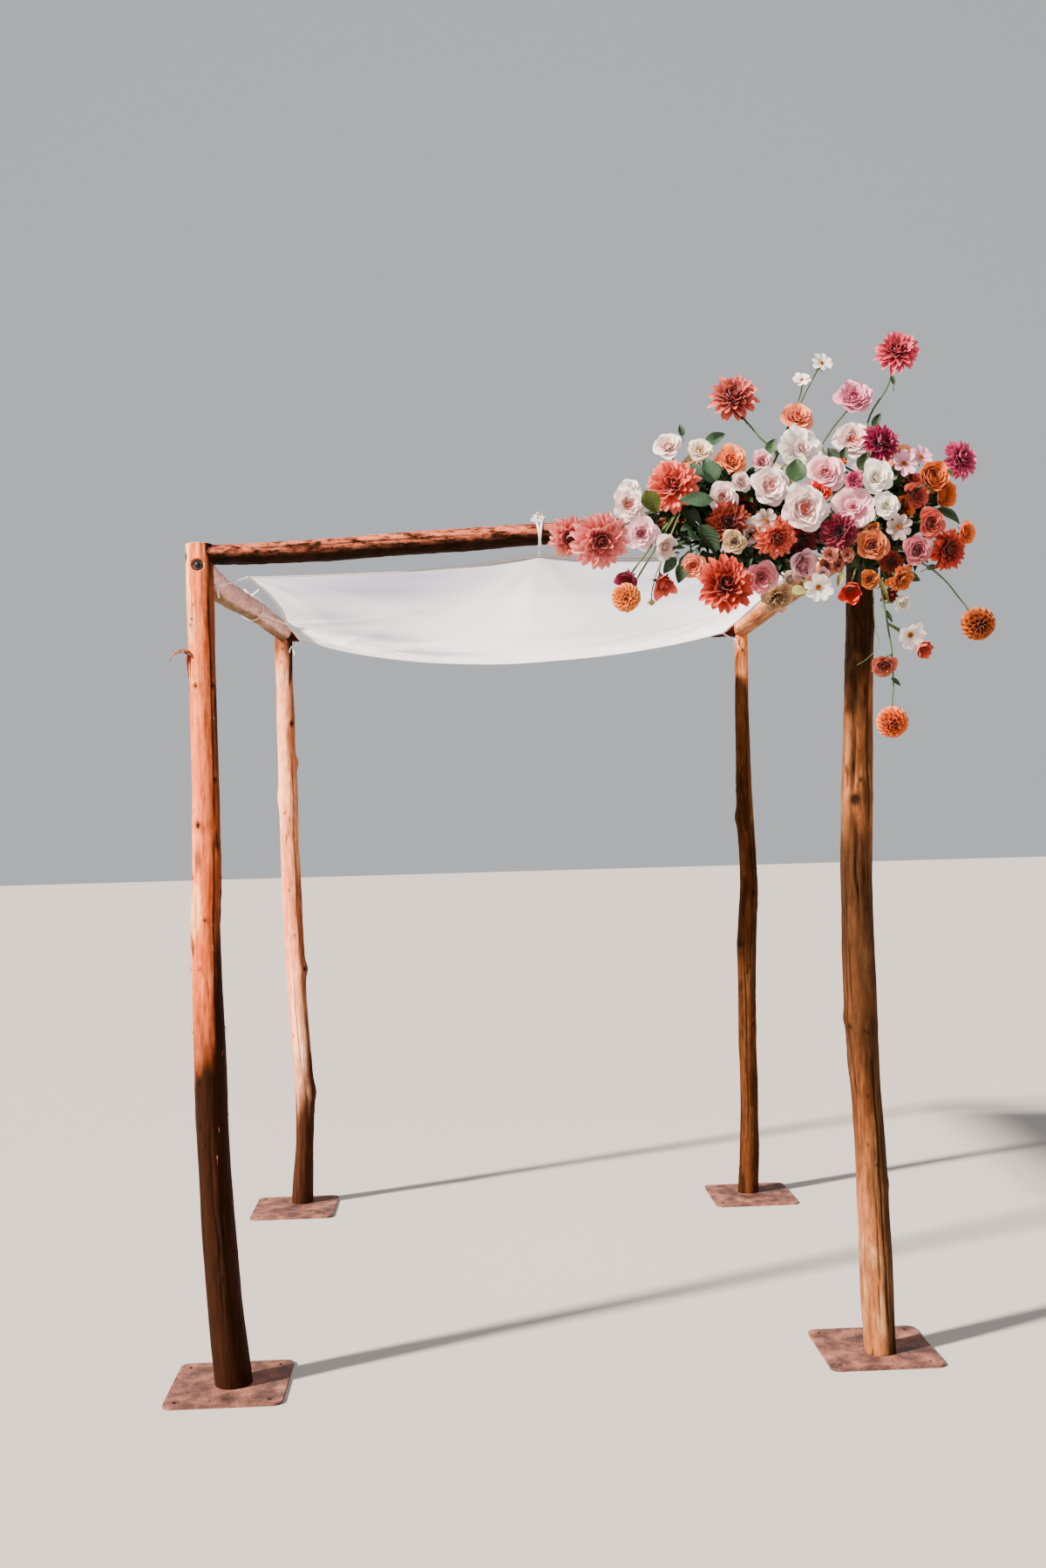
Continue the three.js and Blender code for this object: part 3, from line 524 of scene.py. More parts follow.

# Each log's bark and skin: the share of its girth that each covers at places along it. The skin's
# side is how much more skin there is, and where. Cracks are side angle, start, end, width and
# depth; their insides are painted dark as shade. Knots are side angle, place, radius and height,
# with 0 at the end for one that has no hole; holes are painted dark as shade. Stains are place,
# strength all round and what the shaded side adds: dark weathering together with painted shade on
# the side turned from the key light, and painted shadows on parts of the posts, such as the beam's
# over the top of the back left post. Spots are side angle, place, width, height and what they add
# to the stain and shade. On posts 0 degrees is +X and 90 the front; on beams 0 is the front or +X
# and 90 the top.
MARKS = {
    "front_left_post": {
        "bark": [(0, 0.25), (700, 0.2), (1050, 0.14), (1300, 0.1), (2330, 0.1), (2400, 0.3)],
        "skin": [(0, 0.6), (1150, 0.6), (1290, 0.2), (1400, 0.24), (1490, 0.8), (2080, 0.74),
                 (2130, 0.5), (2400, 0.42)],
        "skin_side": (0.36, 72),
        "stain_and_shade": [(0, 1.4, 0.1), (780, 1.15, 0.1), (900, 0.66, 0.3), (1000, 0.52, 0.5),
                  (1090, 0.42, 0.56), (1180, 0.1, 0.76), (1500, 0.04, 0.68), (2400, 0.06, 0.6)],
        "stained_and_shaded_side": 5,
        "spots": [(106, 1500, 38, 55, 0.66), (64, 1500, 20, 44, -0.9), (88, 1990, 14, 40, 0.2)],
        "cracks": [(47, 1560, 2330, 2.6, 5), (47, 900, 1620, 2.8, 5), (109, 2330, 2440, 1.6, 3),
                   (117, 2100, 2330, 1.6, 3), (84, 1080, 1240, 1.8, 3), (140, 300, 1250, 2, 4),
                   (88, 120, 800, 2, 4), (200, 1400, 2300, 2, 4), (62, 60, 700, 2.4, 5),
                   (300, 200, 1700, 3, 6)],
        "knots": [(115, 2226, 5, 1), (122, 2186, 5, 1), (131, 2168, 7, 1.5), (47, 2201, 7, 1),
                  (112, 1994, 10, 3), (35, 1993, 9, 2), (36, 1726, 9, 2), (114, 1599, 13, 4),
                  (59, 1868, 4, 1), (51, 1788, 4, 1), (84, 1330, 7, 2), (150, 1450, 9, 3),
                  (250, 1250, 12, 5), (210, 2050, 8, 2)],
    },
    "front_right_post": {
        "bark": [(0, 0.2), (250, 0.1), (700, 0.15), (1800, 0.1), (1950, 0.5), (2200, 0.5), (2505, 0.4)],
        "skin": [(0, 0.45), (1200, 0.5), (1900, 0.4), (2505, 0.4)],
        "skin_side": (0.2, 110),
        "stain_and_shade": [(0, 0.26, 0.5), (350, 0.34, 0.5), (500, 0.52, 0.24), (650, 0.5, 0.3), (800, 0.64, 0.1),
                  (950, 0.84, -0.1), (1400, 0.92, -0.14), (1550, 0.66, -0.1), (1750, 0.56, -0.14),
                  (1850, 0.62, -0.1), (1950, 0.6, -0.1), (2030, 0.9, -0.14), (2100, 1.0, -0.16),
                  (2505, 1.05, 0)],
        "stained_and_shaded_side": 30,
        "spots": [(122, 2110, 18, 150, 0.4), (126, 1720, 6, 150, 0.45), (120, 1380, 7, 200, 0.4),
                  (106, 1640, 26, 70, -0.4)],
        "cracks": [(118, 1600, 1900, 2.8, 6), (100, 1250, 1600, 3, 6), (112, 1300, 1560, 2.2, 4),
                   (140, 980, 1270, 2, 5), (98, 60, 560, 1.6, 3), (72, 40, 900, 2, 4),
                   (150, 700, 1500, 2, 5), (60, 1500, 2200, 2.4, 5), (270, 300, 1900, 3, 6)],
        "knots": [(110, 1622, 23, 7), (93, 1678, 8, 2), (166, 985, 14, 8, 0), (146, 962, 9, 3),
                  (96, 950, 7, 1.5), (84, 945, 5, 1), (100, 760, 5, 1), (120, 2020, 10, 4),
                  (30, 500, 12, 4), (84, 560, 5, 1), (115, 620, 6, 1), (240, 1400, 13, 5)],
    },
    "back_left_post": {
        "bark": [(0, 0.4), (200, 0.15), (900, 0.1), (1900, 0.1), (2352, 0.1)],
        "skin": [(0, 0.7), (2352, 0.75)],
        "stain_and_shade": [(0, 1.3, 0), (120, 1.2, 0), (250, 0.94, 0.2), (400, 0.8, 0.2), (500, 0.6, 0.3),
                  (580, 0.4, 0.4), (670, 0.12, 0.62), (1100, 0.1, 0.6), (1250, 0.06, 0.5),
                  (1550, 0.04, 0.42), (1750, 0.05, 0.5), (2150, 0.05, 0.62), (2200, 0.2, 0.62),
                  (2260, 0.46, 0.5), (2300, 0.58, 0.45), (2352, 0.6, 0.45)],
        "stained_and_shaded_side": 6,
        "cracks": [(95, 500, 1000, 1.6, 3), (52, 1000, 1900, 2, 4), (150, 100, 900, 1.6, 3),
                   (250, 600, 1900, 2, 4)],
        "knots": [(28, 462, 20, 10, 0), (8, 971, 17, 11, 0), (34, 972, 10, 3), (0, 1826, 14, 10, 0),
                  (46, 1986, 15, 4), (174, 1676, 20, 6, 0), (100, 1300, 6, 1), (110, 1620, 6, 1),
                  (106, 2244, 6, 1), (92, 2298, 6, 1), (130, 700, 6, 1), (78, 1110, 5, 1)],
    },
    "back_right_post": {
        "bark": [(0, 0.3), (400, 0.3), (1500, 0.25), (2100, 0.1), (2306, 0.05)],
        "skin": [(0, 0.5), (2306, 0.6)],
        "stain_and_shade": [(0, 0.86, 0.2), (120, 0.9, 0.1), (400, 0.96, 0), (800, 0.88, -0.1), (1000, 0.95, -0.1),
                  (2060, 0.98, -0.2), (2120, 0.8, -0.2), (2165, 0.05, 0), (2306, -0.1, 0)],
        "stained_and_shaded_side": 26,
        "cracks": [(110, 200, 1100, 2, 4), (84, 1150, 1320, 2.4, 5), (70, 900, 1900, 2, 4),
                   (250, 400, 1700, 2, 4)],
        "knots": [(135, 1030, 17, 7), (70, 1240, 13, 4), (170, 1550, 18, 9, 0), (150, 1835, 8, 2),
                  (88, 1760, 5, 1), (84, 940, 6, 2), (90, 2240, 6, 1), (60, 700, 9, 3)],
    },
    "front_beam": {
        "bark": [(-963, 0.75), (-500, 0.9), (0, 0.85), (963, 0.9)],
        "skin": [(-963, 0.5), (963, 0.5)],
        "cracks": [(20, -850, -150, 2, 5), (60, -300, 500, 2, 4)],
        "knots": [(30, -620, 9, 4), (70, -80, 8, 3), (10, 210, 8, 3)],
    },
    "left_beam": {
        "bark": [(-972, 0.0), (1046, 0.0)],
        "skin": [(-972, 0.6), (1046, 0.6)],
        "skin_side": (0.35, 20),
        "stain_and_shade": [(-972, 0.2, 0.8), (300, 0.1, 0.7), (800, 0.16, 0.74), (1046, 0.34, 0.7)],
        "stained_and_shaded_side": -98,
        "cracks": [(120, -500, 300, 1.6, 3), (40, 100, 900, 1.6, 3)],
        "knots": [(150, -300, 7, 2), (340, 420, 8, 2), (200, 60, 7, 2)],
    },
    "right_beam": {
        "bark": [(-931, 0.02), (962, 0.05)],
        "skin": [(-931, 0.4), (962, 0.4)],
        "cracks": [(140, -600, 200, 1.6, 3)],
        "knots": [(190, -200, 8, 2), (170, 500, 9, 3)],
    },
    "back_beam": {
        "bark": [(-953, 0.8), (945, 0.85)],
        "skin": [(-953, 0.5), (945, 0.5)],
        "cracks": [(20, -500, 300, 2, 4)],
        "knots": [(10, -400, 8, 3), (350, 300, 8, 3)],
    },
}

# Bolts: where the washer seats, SEAT from a log's middle, and the way the shank points.
SEAT = 27
BOLTS = {
    "front_left_beam_bolt": ([-963 - SEAT, -972, 2366], [1, 0, 0]),
    "front_left_side_bolt": ([-963, -972 - SEAT, 2338], [0, 1, 0]),
    "front_right_beam_bolt": ([963 + SEAT, -931, 2433], [-1, 0, 0]),
    "front_right_side_bolt": ([963, -931 - SEAT, 2380], [0, 1, 0]),
    "back_left_post_bolt": ([-953, 1010, 2372 + SEAT], [0, 0, -1]),
    "back_left_beam_bolt": ([-953 - SEAT, 975, 2360], [1, 0, 0]),
    "back_right_post_bolt": ([945, 908, 2328 + SEAT - 2], [0, 0, -1]),
    "back_right_beam_bolt": ([945 + SEAT - 2, 925, 2326], [-1, 0, 0]),
}
# The sizes of a bolt's head and washer, and of the flat pocket in the wood that it sits in.
BOLT = {"head": 9, "high": 8, "washer": 15, "thick": 3, "pocket": 17, "room": 40}

# Each log's own directions: along it, across it and, on posts towards the front, on beams up.
AXES = {
    "x": (np.array([1, 0, 0]), np.array([0, -1, 0]), np.array([0, 0, 1])),
    "y": (np.array([0, 1, 0]), np.array([1, 0, 0]), np.array([0, 0, 1])),
    "z": (np.array([0, 0, 1]), np.array([1, 0, 0]), np.array([0, -1, 0])),
}
# How far bends are rounded, the steps between rows of points, points round a log, how far cracks fade
# in, the radii that noise and spots are laid out on, and a cut end's rings: size and how far they stand.
BEND = 60
ROW_STEP, FINE_STEP = 8, 2
SIDES = {"x": 72, "y": 72, "z": 84}
CRACK_FADE = 120
DRUM, SPOT_DRUM = 45, 42
CAP_RINGS = [(0.985, 1.2), (0.94, 2.4), (0.8, 2.8), (0.55, 3.0), (0.3, 3.0), (0.1, 3.0), (0.01, 3.0)]


def log_line(stations, axis):
    """Centre and radius along a log, with its bends rounded, and the rows to build it from."""
    stations = np.array(stations, float)
    main = "xyz".index(axis)
    places = stations[:, main]
    fine = np.arange(places[0], places[-1] + 1)
    window = np.hanning(2 * BEND + 1)
    window /= window.sum()
    lines = []
    for column in range(4):
        line = np.interp(fine, places, stations[:, column])
        wide = np.pad(line, BEND, mode="reflect", reflect_type="odd")
        lines.append(np.convolve(wide, window, mode="valid"))
    lines[main] = fine
    near = [seat[main] for seat, _ in BOLTS.values()]
    rows = [fine[0]]
    while rows[-1] < fine[-1]:
        close = min(abs(rows[-1] - place) for place in near) < BOLT["pocket"] + ROW_STEP
        rows.append(min(rows[-1] + (FINE_STEP if close else ROW_STEP), fine[-1]))
    rows = np.array(rows)
    return rows, np.stack([np.interp(rows, fine, line) for line in lines], axis=1)


def stain_and_shade_field(marks, rows, turn, flat, seed):
    """How dark a log's stains and painted shade are: by height and side on a post, with painted shade on
    the side turned from the key light; painted shade all along the underside of a beam without its own
    list.
    """
    if "stain_and_shade" not in marks:
        # Painted shade all along the beam's underside.
        return smooth(-0.5, 0.45, -np.sin(turn))[None, :] * np.ones((len(rows), 1))
    places, everywhere, more = zip(*marks["stain_and_shade"])
    side = smooth(0.36, 0.95, np.cos(turn - math.radians(marks["stained_and_shaded_side"])))
    level = np.interp(rows, places, everywhere)[:, None] + np.interp(rows, places, more)[:, None] * side
    for angle, place, wide, high, change in marks.get("spots", []):
        gap = apart(turn, math.radians(angle)) * SPOT_DRUM
        off = (gap / wide)[None, :] ** 2 + ((rows - place) / high)[:, None] ** 2
        level = level + change * np.exp(-off)
    return smooth(0.2, 0.85, level + 0.22 * noise(flat, (30, 30, 220), seed, 4))


def bark_and_skin(marks, rows, turn, flat, seed):
    """Where a log keeps its bark and the coloured skin under it, and how thick the two are."""
    share = np.interp(rows, *zip(*marks["bark"]))[:, None]
    grown = noise(flat, (34, 34, 170), seed + 3, 4) * 0.5 + 0.5
    bark = smooth(-0.05, 0.05, share - grown)
    crumb = noise(flat, (8, 8, 26), seed + 4, 3)
    spread, centre = marks.get("skin_side", (0.0, 0))
    flake = noise(flat, (40, 40, 260), seed + 6, 4) * 0.45
    flake = flake + spread * np.cos(turn - math.radians(centre))[None, :] + 0.5
    skin = smooth(-0.03, 0.03, flake - 1 + np.interp(rows, *zip(*marks["skin"]))[:, None])
    return bark, skin, bark * (1.4 + 1.5 * crumb) + 0.8 * skin * (1 - bark)


def cut_marks(marks, rows, turn, radius, reach, seed):
    """Cuts a log's cracks and raises its knots: how far it then reaches, and how dark it is, the
    darkness being painted shade inside the cracks and knot holes.
    """
    dark = np.zeros_like(reach)
    for angle, start, end, wide, deep in marks["cracks"]:
        wander = 0.12 * noise(rows[:, None] * np.array([1, 0, 0]), 160, seed + angle)
        gap = apart(turn[None, :], (math.radians(angle) + wander)[:, None])
        ends = smooth(start, start + CRACK_FADE, rows) * (1 - smooth(end - CRACK_FADE, end, rows))
        share = np.exp(-(gap * radius / wide) ** 2) * ends[:, None]
        reach = reach - deep * share
        dark = np.maximum(dark, np.minimum(1.4 * share, 1))
    for angle, place, size, high, *hollow in marks["knots"]:
        hole = hollow[0] if hollow else 0.9
        gap = apart(turn, math.radians(angle))[None, :] * radius
        away = np.sqrt(gap ** 2 + ((rows[:, None] - place) * 0.8) ** 2) / size
        reach = reach + high * np.exp(-away ** 2 / 2.2) - high * hole * np.exp(-(away / 0.45) ** 2)
        dark = np.maximum(dark, np.minimum(1.7 * hole * np.exp(-(away / 0.66) ** 2), 1))
    return reach, dark


def bolt_pockets(points, dark):
    """Flattens the wood under each washer, pale in the pocket and darkened in a ring round its rim."""
    cut = np.zeros_like(dark)
    for seat, way in BOLTS.values():
        out = -np.array(way, float)
        away = points - np.array(seat, float)
        high = away @ out
        off = np.linalg.norm(away - high[..., None] * out, axis=-1) - BOLT["pocket"]
        inside = (1 - smooth(-1.5, 1.5, off)) * (high > 0) * (high < BOLT["room"])
        points = points - out * (high * inside)[..., None]
        cut = np.maximum(cut, 0.5 * inside)
        stain_and_shade = np.exp(-(off / 4) ** 2) * (np.abs(high) < 25) * (off > -2)
        dark = np.maximum(dark, 0.25 * stain_and_shade)
    return points, cut, dark


def cut_end(centre, rim, out, seed):
    """The rings of a cut end from its rim inwards, and their values."""
    points = np.array([centre + (rim - centre) * size + out * push for size, push in CAP_RINGS])
    none = np.zeros(points.shape[:2])
    cut = none + 1
    cut[:2] = 0.5
    dark = 0.35 * (noise(points, (9, 9, 9), seed, 2) > 0.35)
    return {"points": points, "bark": none, "mark": dark, "cut": cut, "stain_and_shade": none + 0.3, "skin": none}


def build_log(name, stations, axis, material, seed):
    marks = MARKS[name]
    along, across, rise = AXES[axis]
    rows, line = log_line(stations, axis)
    turn = ring(SIDES[axis])
    radius = line[:, 3][:, None]
    flat = np.zeros((len(rows), len(turn), 3))
    flat[..., :2] = wheel(turn, *np.eye(2)) * DRUM
    flat[..., 2] = rows[:, None]
    reach = radius + 2.6 * noise(flat, (80, 80, 300), seed) + 0.9 * noise(flat, (12, 12, 130), seed + 1)
    reach += 0.35 * noise(flat, (5, 5, 30), seed + 2, 2)
    bark, skin, thick = bark_and_skin(marks, rows, turn, flat, seed)
    reach, dark = cut_marks(marks, rows, turn, radius, reach + thick, seed)
    points = line[:, None, :3] + wheel(turn, across, rise)[None] * reach[..., None]
    points, cut, dark = bolt_pockets(points, dark)
    stain_and_shade = stain_and_shade_field(marks, rows, turn, flat, seed + 7)
    body = {"points": points, "bark": bark, "mark": dark, "cut": cut, "stain_and_shade": stain_and_shade, "skin": skin}
    first = cut_end(line[0, :3], points[0], -along, seed + 5)
    last = cut_end(line[-1, :3], points[-1], along, seed + 5)
    body = {key: np.concatenate([first[key][::-1], body[key], last[key]]) for key in body}
    points = body.pop("points")
    index = np.arange(points[..., 0].size).reshape(points.shape[:2])
    faces = quads(np.hstack([index, index[:, :1]]))
    values = {key: np.clip(value, 0, 1).ravel() for key, value in body.items()}
    mesh_piece(name + "_log", points, faces, material, name, values)


# Codes from light to dark: wood, skin, bark, and stain with painted shade, and the most that the log
# takes of the stain and shade. The front beam's near-black stain codes are the painted shade under it.
WOODS = {
    "front_left_post": (("fadcb2", "f0c090", "c4844e"), ("f2a87e", "d28052"), ("9a5c3c", "54301e"),
                        ("381608", "0a0402"), 0.985),
    "front_right_post": (("c8a684", "ac8664", "7e5e40"), ("ba8c68", "906648"), ("6c503a", "3c2a1e"),
                         ("6a503a", "3c2c20"), 0.95),
    "back_left_post": (("fcdcc0", "f6c8a8", "dc9c78"), ("fccaa8", "e8a07a"), ("98684c", "583828"),
                       ("5a3018", "281408"), 0.98),
    "back_right_post": (("fccc9c", "ecac78", "b88050"), ("f0b088", "c8845a"), ("7c5438", "402818"),
                        ("60401a", "382208"), 0.95),
    "front_beam": (("e6b09a", "ac6a54", "603022"), ("b06c56", "743828"), ("d89880", "542417"),
                   ("160705", "080302"), 0.98),
    "left_beam": (("f4dcd0", "e0bcb0", "b8988c"), ("f0d0ca", "d8b0aa"), ("94786a", "604a40"),
                  ("968648", "70602c"), 0.9),
    "right_beam": (("f6cca4", "e0a87c", "b07850"), ("e4a480", "b87854"), ("94705c", "6a4636"),
                   ("785c34", "503818"), 0.6),
    "back_beam": (("c8785a", "984630", "5c2416"), ("9a4c38", "6a2a1c"), ("984a36", "4c1c12"),
                  ("5c2c1c", "34160c"), 0.9),
}


def build_logs():
    logs = {}
    for name, (y, rows) in POSTS.items():
        logs[name + "_post"] = ("z", [[x, y, z, radius] for z, x, radius in rows])
    for name, beam in BEAMS.items():
        logs[name + "_beam"] = beam
    for number, (name, (axis, stations)) in enumerate(logs.items(), 2):
        material = wood(name, axis, *WOODS[name])
        build_log(name, stations, axis, material, 10 * number)


# Loose bark on the front left post: the strip that curls away, the strip that hangs, and short fibres.
CURL = [[-985, -1002, 2084], [-1003, -1006, 2092], [-1022, -1004, 2092], [-1040, -1000, 2084],
        [-1050, -996, 2066]]
HANGING_STRIP = [[-992, -1001, 2088], [-998, -999, 2070], [-998, -998, 2050], [-996, -997, 2020]]
FIBRES = 26


def build_loose_bark():
    """The torn strips at the top of the front left post and the fibres along its edges."""
    rng = np.random.default_rng(8)
    sheets = Sheets()
    curl = curve_through(CURL, np.linspace(0, 1, 24))
    sheets.add_one(tube(curl, np.linspace(12, 3.5, 24), 10, 0.3, [0, 0.75, 0.65]))
    strip = curve_through(HANGING_STRIP, np.linspace(0, 1, 20))
    sheets.add_one(tube(strip, np.linspace(10, 2, 20), 10, 0.22, [0.3, 1, 0]))
    y, rows = POSTS["front_left"]
    heights, centres, radii = zip(*rows)
    for _ in range(FIBRES):
        z = rng.uniform(500, 2050)
        angle = math.radians(rng.choice([168, 20, 60, 120]) + rng.normal(0, 12))
        out = np.array([math.cos(angle), -math.sin(angle), 0])
        radius = np.interp(z, heights, radii)
        start = np.array([np.interp(z, heights, centres), y, z]) + out * (radius - 2)
        long = rng.uniform(10, 28)
        end = start + out * long * 0.45 + UP * rng.choice([-1, 1]) * long
        path = bezier(start, start + out * long * 0.4, end, end + out * 3, 9)
        sheets.add_one(tube(path, np.linspace(1.2, 0.4, 9), 6, 0.5))
    sheets.piece("loose_bark", loose_bark("loose_bark", ("b87450", "541e0e")), "bark_log")


def build_bolts(material):
    washer, thick, head = BOLT["washer"], BOLT["thick"], BOLT["head"]
    top = thick + BOLT["high"]
    plate = [[6, 0], [washer - 0.6, 0], [washer, 0.6], [washer, thick - 0.7], [washer - 0.7, thick],
             [6, thick]]
    block = [[head, thick - 0.1], [head, top - 1.4], [head * 0.9, top], [0.01, top + 0.1]]
    for name, (seat, way) in BOLTS.items():
        sheets = Sheets()
        out = -np.array(way, float)
        sheets.add_one(lathe(plate, seat, out, 36), rgb("4a4341"))
        hexagon = lathe(block, seat, out, 6)
        for face in range(6):
            sheets.add_one(hexagon[:, face:face + 2], rgb("1b1d22"))
        sheets.piece(name + "_head", material, "bolt_steel", name)


# Cloth: points along its edges, how far its middle hangs, and the folds that its ties pull.
CLOTH_EDGES = {
    "front": [[-845, -850, 2322], [-600, -862, 2323], [-350, -876, 2328], [-150, -893, 2342],
              [15, -903, 2361], [150, -894, 2353], [400, -876, 2349], [650, -862, 2349],
              [850, -850, 2350]],
    "back": [[-872, 930, 2324], [-650, 890, 2263], [-390, 868, 2222], [-100, 858, 2205],
             [110, 856, 2210], [400, 860, 2231], [640, 858, 2264], [860, 840, 2306]],
    "left": [[-845, -850, 2322], [-829, -500, 2320], [-826, -200, 2307], [-834, 50, 2290],
             [-838, 350, 2288], [-854, 650, 2300], [-872, 930, 2324]],
    "right": [[850, -850, 2350], [838, -500, 2340], [836, -200, 2330], [848, 50, 2326],
              [842, 350, 2310], [846, 600, 2305], [860, 840, 2306]],
}
BELLY = 45
CLOTH_ROWS = 150
# Painted shadows and pools of light on the cloth, by share across and share back: how far they reach
# each way and how much paler they are; the darker ones are painted shadows.
PAINTED_SHADOWS_AND_LIGHT = [
    (0.2, 0.1, 0.2, 0.11, -0.28), (0.44, 0.33, 0.14, 0.16, 0.2), (0.34, 0.54, 0.08, 0.08, 0.16),
    (0.1, 0.34, 0.08, 0.07, -0.24), (0.19, 0.5, 0.09, 0.06, -0.3), (0.3, 0.68, 0.1, 0.05, -0.34),
    (0.52, 0.88, 0.22, 0.1, 0.2), (0.75, 0.5, 0.14, 0.2, -0.16), (0.68, 0.14, 0.14, 0.1, -0.12),
]
# Folds: from a point towards others, how high and how wide.
FOLDS = [
    ([-872, 930], [([300, 500], 9, 22), ([0, -300], 5, 40), ([-350, -500], 5, 30)]),
    ([-834, 50], [([-250, 640], 24, 16), ([300, 560], 4, 40), ([-100, -600], 4, 36)]),
    ([-834, 90], [([-330, 780], -16, 20)]),
    ([300, 700], [([860, 640], 7, 34)]),
    ([-500, 780], [([500, 760], 8, 36)]),
    ([-845, -850], [([0, 100], 5, 44), ([300, -300], 4, 40), ([-600, 200], 4, 30)]),
    ([850, -850], [([0, 100], 5, 44), ([500, 300], 4, 36), ([200, -600], 3, 36)]),
    ([848, 50], [([-200, 500], 8, 26), ([300, 760], 6, 24), ([100, -500], 4, 36)]),
    ([860, 840], [([-200, 100], 7, 30), ([-500, 640], 8, 20), ([500, -300], 4, 30)]),
    ([15, -903], [([-300, 0], 3.5, 50), ([300, 100], 3.5, 50), ([0, 400], 2.5, 40)]),
]


def cloth_grid(rows):
    share = np.linspace(0, 1, rows)
    front, back, left, right = (curve_through(CLOTH_EDGES[side], share)
                                for side in ("front", "back", "left", "right"))
    u = share[None, :, None]
    v = share[:, None, None]
    grid = front[None] * (1 - v) + back[None] * v + left[:, None] * (1 - u) + right[:, None] * u
    grid -= (front[0] * (1 - u) * (1 - v) + front[-1] * u * (1 - v) + back[0] * (1 - u) * v
             + back[-1] * u * v)
    middle = np.sin(math.pi * u[..., 0]) * np.sin(math.pi * v[..., 0])
    grid[..., 2] -= BELLY * middle
    ground = grid[..., :2]
    for start, ends in FOLDS:
        away = ground - np.array(start, float)
        for end, high, wide in ends:
            way = np.array(end, float) - start
            long = np.linalg.norm(way)
            way /= long
            along = away @ way
            off = away[..., 0] * -way[1] + away[..., 1] * way[0]
            reach = wide * (0.35 + 1.3 * np.clip(along / long, 0, 1))
            lift = smooth(-5, 60, along) * (1 - smooth(0.35 * long, long, along))
            grid[..., 2] += high * lift * np.exp(-(off / reach) ** 2)
    flat = grid * np.array([1, 1, 0])
    ripple = 8 * noise(flat, (700, 210, 1), 3, 2) + 1.0 * noise(flat, (160, 60, 1), 4, 2)
    grid[..., 2] += middle ** 0.4 * ripple
    return grid


# The order of a face's corners that turns the cloth's faces up, and the hem's flat roll and round
# edge: how far in, radius, sides and flatness.
FACE_UP = [0, 3, 2, 1]
HEMS = [(4.5, 5.0, 10, 0.28), (0.6, 1.9, 8, 0.9)]


def border(grid, row):
    """The points all round a grid, some rows in from its edge, each beside the one at the edge."""
    return np.concatenate([grid[row, :-1], grid[:-1, -1 - row], grid[-1 - row, :0:-1], grid[:0:-1, row]])


def build_cloth():
    grid = cloth_grid(CLOTH_ROWS)
    # The hung cloth's dark code is the lavender of its painted shade.
    white = cotton("white_cotton", "fafcff", "9090ae", 0.78, True)
    # The hem's greyer beige is painted shade along the rolled hem; its double layer lets less light
    # through.
    shaded_hem = cotton("hem_cotton_painted_shade", "d8d0c4", "bcb4a8", 0.12)
    share = np.linspace(0, 1, CLOTH_ROWS)
    u, v = share[None, :], share[:, None]
    # Painted shading over the hung cloth: darker towards its front edge and in painted shadows, paler in
    # painted pools of light, with a little random tone.
    tone_and_painted_shading = 0.48 + 0.36 * v + 0.06 * noise(grid * np.array([1, 1, 0]), (560, 230, 1), 6, 2)
    for place_u, place_v, wide, deep, lift in PAINTED_SHADOWS_AND_LIGHT:
        tone_and_painted_shading = tone_and_painted_shading + lift * np.exp(-((u - place_u) / wide) ** 2 - ((v - place_v) / deep) ** 2)
    faces = quads(np.arange(tone_and_painted_shading.size).reshape(tone_and_painted_shading.shape))[:, FACE_UP]
    cloth = mesh_piece("hung_cloth", grid, faces, white, "canopy_cloth",
                       {"tone_and_painted_shading": np.clip(tone_and_painted_shading, 0, 1).ravel()})
    rim = border(grid, 0)
    side = unit(border(grid, 3) - rim)
    sheets = Sheets()
    for inset, radius, sides, flat in HEMS:
        sheets.add_one(tube(rim + inset * side, radius, sides, flat, side, closed=True))
    hem = sheets.piece("rolled_hem", shaded_hem, "cotton_cloth")


# Ties: the cloth point, the middle and radius of the loop round a beam and its axis, or the knot's place
# at a post.
MIDDLE_TIES = {
    "front_middle_tie": ([15, -903, 2361], [15, -945, 2416.8], 31, [1, 0, 0]),
    "left_middle_tie": ([-834, 50, 2290], [-955, 50, 2347.4], 39, [0, 1, 0]),
    "right_middle_tie": ([848, 50, 2326], [944, 50, 2351.3], 35, [0, 1, 0]),
}
CORNER_TIES = {
    "front_left_tie": ([-845, -850, 2322], [-924, -942, 2286]),
    "front_right_tie": ([850, -850, 2350], [913, -913, 2338]),
    "back_left_tie": ([-872, 930, 2324], [-915, 970, 2304]),
    "back_right_tie": ([860, 840, 2306], [916, 885, 2284]),
}
# Half the width of the tape, the radius of a strand, and the sizes of knots at the cloth, over a beam
# and at a post.
TAPE = 3.4
STRAND = 2.5
CLOTH_KNOT, BEAM_KNOT, POST_KNOT = 4.5, 7, 6.5
# The bow's loops by lean, and the tips of the tails on the other beams.
BOW_LEANS = (-70, -38, -8, 24, 60)
SHORT_TAILS = ([-22, -6, 25], [30, -8, 20])


def strand(name, start, end, material, tie, sag):
    start, end = np.array(start, float), np.array(end, float)
    middle = (start + end) / 2 - UP * sag
    path = bezier(start, (start + 2 * middle) / 3, (end + 2 * middle) / 3, end, 16)
    sheets = Sheets()
    sheets.add_one(tube(path, STRAND))
    piece = sheets.piece(name + "_strand", material, "cotton_tie", tie)


def knot(sheets, place, size, way, rng):
    """A small knot: three short loops of tape pulled tight round each other."""
    for _ in range(3):
        axis = unit(np.asarray(way, float) + 0.7 * rng.normal(size=3))
        side = unit(np.cross(axis, [0.2, 0.4, 0.9]))
        loop = np.array(place) + wheel(ring(14), side, np.cross(axis, side)) * size * 0.62
        sheets.add_one(tube(loop, size * 0.42, 8, 0.7, closed=True))


